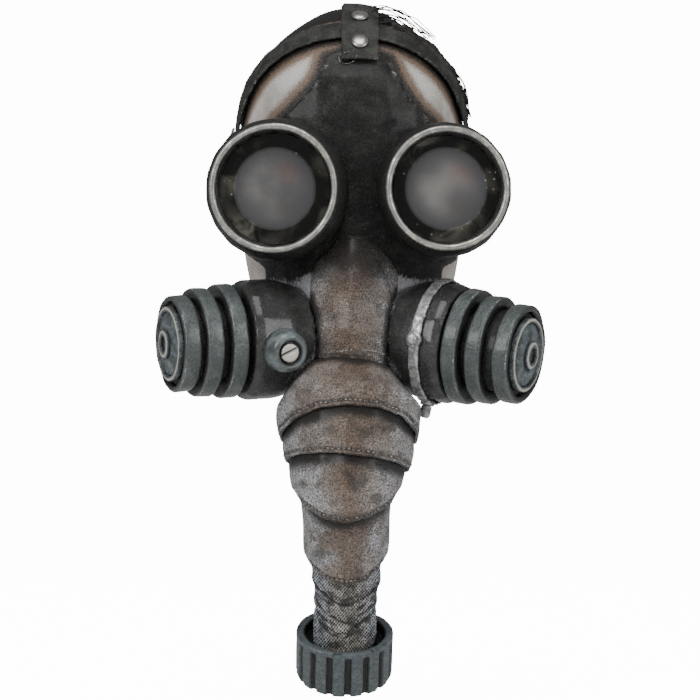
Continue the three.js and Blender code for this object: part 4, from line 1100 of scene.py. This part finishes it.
tree, shader, rivet_paint = new_material("rivet_steel", {"Metallic": 0.9, "Specular IOR Level": 0.5})
steel = two_paints(tree, rivet_steel, rivet_dark, 260.0, 0.58)
linked(tree, shader, {
    "Base Color": steel.outputs["Colour"],
    "Roughness": stepped(tree, steel.outputs["Mask"], 0.0, 1.0, 0.28, 0.5),
    "Normal": bumped(tree, steel.outputs["Mask"], 0.2, 0.0002),
})
for node in ("rivet_upper", "rivet_lower", "left_temple_rivet", "right_temple_rivet", "left_back_rivet",
             "right_back_rivet", "middle_back_rivet"):
    rivet_place = round_place(node)
    back, front, _, outer = round_reach(node, rivet_place)
    dome_height = 0.75 * (front - back)
    dome_foot = front - dome_height
    dome = [(back, outer * 0.9), (back, outer), (dome_foot, outer)]
    for angle in range(15, 91, 15):
        turn = math.radians(angle)
        dome.append((dome_foot + dome_height * math.sin(turn), outer * math.cos(turn) + 1e-4))
    rivet = turned(node + "_head", rivet_place, dome, 32)
    stands_for(rivet, rivet_paint, "rivet", node)


# The canisters. Cast foam filters painted dark, with three flat grey green bands round each, black grooves
# between them, and an end plate with a raised cream ring round it and a pierced eyelet in its middle.
canister_black = (0.010, 0.010, 0.009, 1)
canister_grey = (0.032, 0.036, 0.033, 1)
canister_speck = (0.42, 0.43, 0.42, 1)
band_green = (0.060, 0.072, 0.070, 1)
band_smudge = (0.115, 0.130, 0.127, 1)
band_worn_and_highlight = (0.50, 0.52, 0.50, 1)
plate_highlight_blue = (0.16, 0.19, 0.205, 1)
plate_cream = (0.52, 0.50, 0.42, 1)
canister_voxel = 0.0015
band_corner = 0.0021
band_sides = 160

tree, shader, body_paint = new_material(
    "canister_body_paint", {"Specular IOR Level": 0.5, "Coat Weight": 0.5, "Coat Roughness": 0.16})
skin = two_paints(tree, canister_grey, canister_black, 52.0, 0.46)
brush = brushed_over(tree, read(tree, "brushed"), 800.0)
pores = pebbled(tree, skin.outputs["Colour"], 560.0, 0.5, 0.55)
linked(tree, shader, {
    "Base Color": mixed(tree, brush, pores.outputs["Colour"], canister_speck),
    "Roughness": stepped(tree, skin.outputs["Mask"], 0.0, 1.0, 0.30, 0.44),
    "Normal": bumped(tree, pores.outputs["Height"], 0.8, 0.0005),
})

tree, shader, band_paint = new_material(
    "canister_band_paint",
    {"Roughness": 0.30, "Specular IOR Level": 0.5, "Coat Weight": 0.25, "Coat Roughness": 0.2})
green = two_paints(tree, band_smudge, band_green, 55.0, 0.40)
scratch = brushed_over(tree, 0.36, 260.0, (2.4, 1.0, 0.35))
# Worn paint on the band shoulders, with a painted highlight
worn = brushed_over(tree, stepped(tree, read(tree, "worn"), 0.0, 1.0, 0.20, 1.15), 520.0)
fine_skin = pebbled(tree, green.outputs["Colour"], 500.0, 0.3, 0.22)
colour = mixed(tree, scratch, fine_skin.outputs["Colour"], canister_black)
colour = mixed(tree, read(tree, "shade"), colour, canister_black)
linked(tree, shader, {
    "Base Color": mixed(tree, worn, colour, band_worn_and_highlight),
    "Normal": bumped(tree, fine_skin.outputs["Height"], 0.5, 0.0005),
})

tree, shader, plate_paint = new_material(
    "canister_plate_paint", {"Roughness": 0.34, "Specular IOR Level": 0.5})
# The plates' bluish grey is a painted highlight, in patches with the band green
blue = two_paints(tree, plate_highlight_blue, band_green, 130.0, 0.5)
cream = brushed_over(tree, stepped(tree, read(tree, "worn"), 0.0, 1.0, 0.40, 1.2), 620.0)
fine_skin = pebbled(tree, blue.outputs["Colour"], 700.0, 0.4, 0.6)
colour = mixed(tree, read(tree, "shade"), fine_skin.outputs["Colour"], canister_black)
linked(tree, shader, {
    "Base Color": mixed(tree, cream, colour, plate_cream),
    "Normal": bumped(tree, fine_skin.outputs["Height"], 0.6, 0.0005),
})


def rounded_section(low, high, inner, outer, corner):
    """The section of a ring with a flat face and round shoulders, as (place along the axis, radius) rows."""
    turns = [math.radians(angle) for angle in range(0, 91, 15)]
    shoulder = [(corner * (1 - math.cos(turn)), outer - corner * (1 - math.sin(turn))) for turn in turns]
    flat = high - low - 2 * corner
    rows = [(low, inner)]
    rows += [(low + along, radius) for along, radius in shoulder]
    rows += [(low + corner + flat * share, outer) for share in (0.25, 0.5, 0.75)]
    rows += [(high - along, radius) for along, radius in reversed(shoulder)]
    return rows + [(high, inner)]


for side in ("left", "right"):
    node = side + "_canister_body"
    body = fine_copy(node, side + "_canister_case", canister_voxel, rounds=80, edge_keep=0.009)
    roughened(body, 0.025, 0.0008)
    by_nose = nearness(coordinates(body), solid_tree("face_rubber", "trunk_flap_1"), 0.012)
    painted(body, "brushed", 0.36 + 0.36 * by_nose)
    stands_for(body, body_paint, "canister_body", node)
    core = fine_copy(side + "_canister_core", side + "_canister_foam", 0.0016, rounds=15)
    stands_for(core, cup_paint, "canister_core", side + "_canister_core")
    for part in ("canister_band_1", "canister_band_2", "canister_band_3"):
        node = side + "_" + part
        band_place = round_place(node)
        low, high, inner, outer = round_reach(node, band_place)
        band = turned(node + "_foam", band_place, rounded_section(low, high, inner, outer, band_corner),
                      band_sides, ring=True)
        along, radii = in_place(band, band_place)
        painted(band, "shade", 1 - smooth_step(radii, outer - 0.0036, outer - 0.0008))
        # A light line along each shoulder: worn paint and a painted highlight, stronger on the outer shoulder
        shoulder = np.exp(-((radii - outer + band_corner * 0.25) / 0.0007) ** 2)
        wear_and_highlight = np.where(along > (low + high) / 2, 0.50, 0.34)
        painted(band, "worn", shoulder * wear_and_highlight * (radii < outer - 0.0001))
        roughened(band, 0.016, 0.0007)
        stands_for(band, band_paint, "canister_band", node)
    for part, crest in (("end_ring", 0.9), ("end_disc", 0.0), ("end_eyelet", 0.9)):
        node = side + "_" + part
        plate_place = round_place(node)
        low, high, inner, outer = round_reach(node, plate_place)
        if part == "end_disc":
            rows = [(low, inner), (low, outer), (high - 0.0030, outer), (high - 0.0022, outer - 0.0010)]
            rows += [(high - 0.0022 + 0.0019 * share, outer - 0.0010 - (outer - 0.0125) * share)
                     for share in (0.25, 0.5, 0.75, 1.0)]
            rows += [(high - 0.0012, 0.0106), (high - 0.0012, inner)]
        else:
            rows = rounded_section(low, high, inner, outer, min(0.0016, (outer - inner) * 0.42))
        plate = turned(node + "_foam", plate_place, rows, 96, ring=True)
        along, radii = in_place(plate, plate_place)
        lip = np.exp(-((radii - outer + 0.0012) / 0.0007) ** 2)
        painted(plate, "worn", crest * smooth_step(along, high - 0.0016, high - 0.0004) * lip)
        deep_shade = 1 - smooth_step(along, high - 0.0052, high - 0.0026)
        rim_shade = smooth_step(radii, outer - 0.0016, outer) if part == "end_disc" else 0
        painted(plate, "shade", np.maximum(deep_shade, rim_shade))
        roughened(plate, 0.008, 0.0003)
        stands_for(plate, plate_paint, "silver_paint" if part == "end_eyelet" else "canister_band", node)


# The fittings. A round rubber knob with a slotted screw let into it on the left canister, and a silver
# painted clamp with embossed dots and two bolts round the right one.
fitting_light = (0.52, 0.53, 0.52, 1)
fitting_dark = (0.20, 0.205, 0.21, 1)
screw_cream = (0.62, 0.60, 0.52, 1)
knob_blue = (0.15, 0.175, 0.18, 1)
knob_height = 0.010

tree, shader, silver_paint = new_material(
    "silver_fitting_paint", {"Metallic": 0.6, "Specular IOR Level": 0.5})
silver = two_paints(tree, fitting_light, fitting_dark, 220.0, 0.5)
chipped = brushed_over(tree, 0.44, 700.0)
linked(tree, shader, {
    "Base Color": mixed(tree, chipped, silver.outputs["Colour"], canister_black),
    "Roughness": stepped(tree, silver.outputs["Mask"], 0.0, 1.0, 0.32, 0.5),
    "Normal": bumped(tree, silver.outputs["Mask"], 0.3, 0.0004),
})

# Embossed dots of the clamp, as pixels of the photograph
clamp_dots = ((427, 306), (424.6, 316), (423.5, 322.5))
for node, voxel in (("right_clamp", 0.0008), ("right_clamp_bolt", 0.0006), ("right_clamp_stud", 0.0006)):
    fitting = fine_copy(node, node + "_metal", voxel, rounds=20, edge_keep=0.0015)
    if node == "right_clamp":
        for dot in clamp_dots:
            place, normal = seen_point(piece_tree(fitting), *dot)
            if place is not None:
                pressed(fitting, [(place, normal)], 0.0014, -0.0009)
    stands_for(fitting, silver_paint, "silver_paint", node)

tree, shader, screw_paint = new_material(
    "screw_paint", {"Metallic": 0.3, "Specular IOR Level": 0.5, "Roughness": 0.38})
cream = two_paints(tree, screw_cream, fitting_light, 260.0, 0.6)
# Painted shade, black, in the slot of the screw
linked(tree, shader, {
    "Base Color": mixed(tree, read(tree, "recess_shade"), cream.outputs["Colour"], canister_black),
    "Normal": bumped(tree, cream.outputs["Mask"], 0.3, 0.0003),
})
screw = fine_copy("left_screw", "left_screw_metal", 0.0004, rounds=3, edge_keep=0.0006, softening=1)
slot_pixels = ((278.5, 357), (287.4, 352.6), (296.5, 348.5))
slot_path = seen_path(piece_tree(screw), slot_pixels)
pressed(screw, slot_path, 0.0008, 0.0007)
# Painted shade in the slot
painted(screw, "recess_shade", smooth_step(line_nearness(slot_path, coordinates(screw), 0.0017), 0.25, 0.75))
stands_for(screw, screw_paint, "silver_paint", "left_screw")

tree, shader, knob_paint = new_material(
    "knob_paint", {"Roughness": 0.32, "Specular IOR Level": 0.5, "Coat Weight": 0.2, "Coat Roughness": 0.2})
blue = two_paints(tree, knob_blue, band_green, 90.0, 0.5)
linked(tree, shader, {
    "Base Color": mixed(tree, read(tree, "shade"), blue.outputs["Colour"], canister_black),
    "Normal": bumped(tree, blue.outputs["Mask"], 0.2, 0.0003),
})
# Radius and height of the knob's section, in millimetres: a round lip, a dark groove and the screw's seat
knob_section = (
    (15.9, -3.0), (15.6, 0.0), (15.3, 3.0), (14.6, 5.8), (13.6, 7.8), (12.4, 9.2), (11.2, 9.8), (10.0, 9.4),
    (9.0, 8.4), (8.2, 7.2), (7.4, 6.6), (6.9, 7.0), (6.4, 8.35), (0.1, 8.35),
)
knob_place = round_place("left_knob")
knob_top = round_reach("left_knob", knob_place)[1]
knob_rows = [(knob_top - knob_height + up / 1000, radius / 1000) for radius, up in knob_section]
knob = turned("left_knob_rubber", knob_place, knob_rows, 96)
knob_radii = in_place(knob, knob_place)[1]
painted(knob, "shade", 1 - smooth_step(knob_radii, 0.0082, 0.0098))
roughened(knob, 0.012, 0.0003)
stands_for(knob, knob_paint, "canister_body", "left_knob")


# The tab. A short strap of the same faux leather as the harness, riveted across the forehead strap and the
# crown strap.
tab = fine_copy("rivet_tab", "rivet_tab_leather", strap_voxel, rounds=10, edge_keep=0.002)
stands_for(tab, strap_paint, "strap", "rivet_tab")


# The hair and the loose thread. A tuft of thin dark strands sticks out from behind the straps at the upper
# right, and a loop of thread has worked out under the tab.
hair_black = (0.010, 0.009, 0.008, 1)
hair_brown = (0.035, 0.030, 0.025, 1)
tree, shader, hair_paint = new_material("hair_strands", {"Roughness": 0.4, "Specular IOR Level": 0.5})
tint = noise_node(tree, object_place(tree), 300.0)
linked(tree, shader, {"Base Color": mixed(tree, tint.outputs["Fac"], hair_black, hair_brown)})
tuft = roughened(fine_copy("hair_tuft", "hair_tuft_backing", 0.0010, rounds=8), 0.004, 0.0012)
stands_for(tuft, hair_paint, "hair", "hair_tuft")

# Locks as pixels of the photograph, each of a few strands that stray from it by up to so many pixels. They
# lie just off whatever the line of sight meets, and hang free past its edge.
strand_radius = 0.00042
strand_lift = 0.0006
strands_in_lock = 4
strand_stray = 3.0
lock_rows = (
    ((376, 12), (388, 12), (402, 17), (415, 25), (427, 36)),
    ((378, 17), (392, 19), (405, 26), (417, 36)),
    ((374, 9), (388, 8), (404, 12), (419, 22), (433, 38)),
    ((380, 22), (394, 25), (408, 33), (419, 42)),
    ((455, 70), (462, 82), (467, 98), (469, 116)),
)
stray = random.Random(5)
strand_rows = [
    [(across + stray.uniform(-strand_stray, strand_stray), down + stray.uniform(-strand_stray, strand_stray))
     for across, down in lock]
    for lock in lock_rows for _ in range(strands_in_lock)
]
dressed = ("latex_face", "crown_strap_leather", "brow_band_leather", "rubber_facepiece",
           "rivet_tab_leather", "hair_tuft_backing")
dressed_trees = [piece_tree(bpy.data.objects[name]) for name in dressed]


def seen_on(trees, across, down):
    """The first of these pieces that the line of sight through a pixel meets: the point and its normal."""
    found = [seen_point(piece_faces, across, down) for piece_faces in trees]
    found = [(place, normal) for place, normal in found if place is not None]
    return min(found, key=lambda hit: hit[0].y) if found else None


def strand(pixels, radius, lift):
    """A thin line that lies over the dressed pieces along these pixels, and hangs free past their edge."""
    line = []
    for across, down in smooth_path(pixels, 6):
        found = seen_on(dressed_trees, across, down)
        if found:
            line.append((found[0] + found[1] * lift, radius))
        elif line:
            deep = line[-1][0].y - camera_place.y
            line.append((camera_place + sight(across, down) * (deep / camera_distance), radius))
    return line


strand_lines = [strand(pixels, strand_radius, strand_lift) for pixels in strand_rows]
strands = tubes("hair_strand_lines", [line for line in strand_lines if len(line) > 2])
stands_for(strands, hair_paint, "hair")

# The thread is the one that the seams are sewn with, bare at the tab
loop_pixels = ((349, 52), (343, 54), (339, 58), (341, 63), (348, 64), (354, 61), (357, 56))
loop = tubes("loose_thread_loop", [strand(loop_pixels, 0.0003, 0.0006)])
stands_for(loop, thread_paint, "strap")
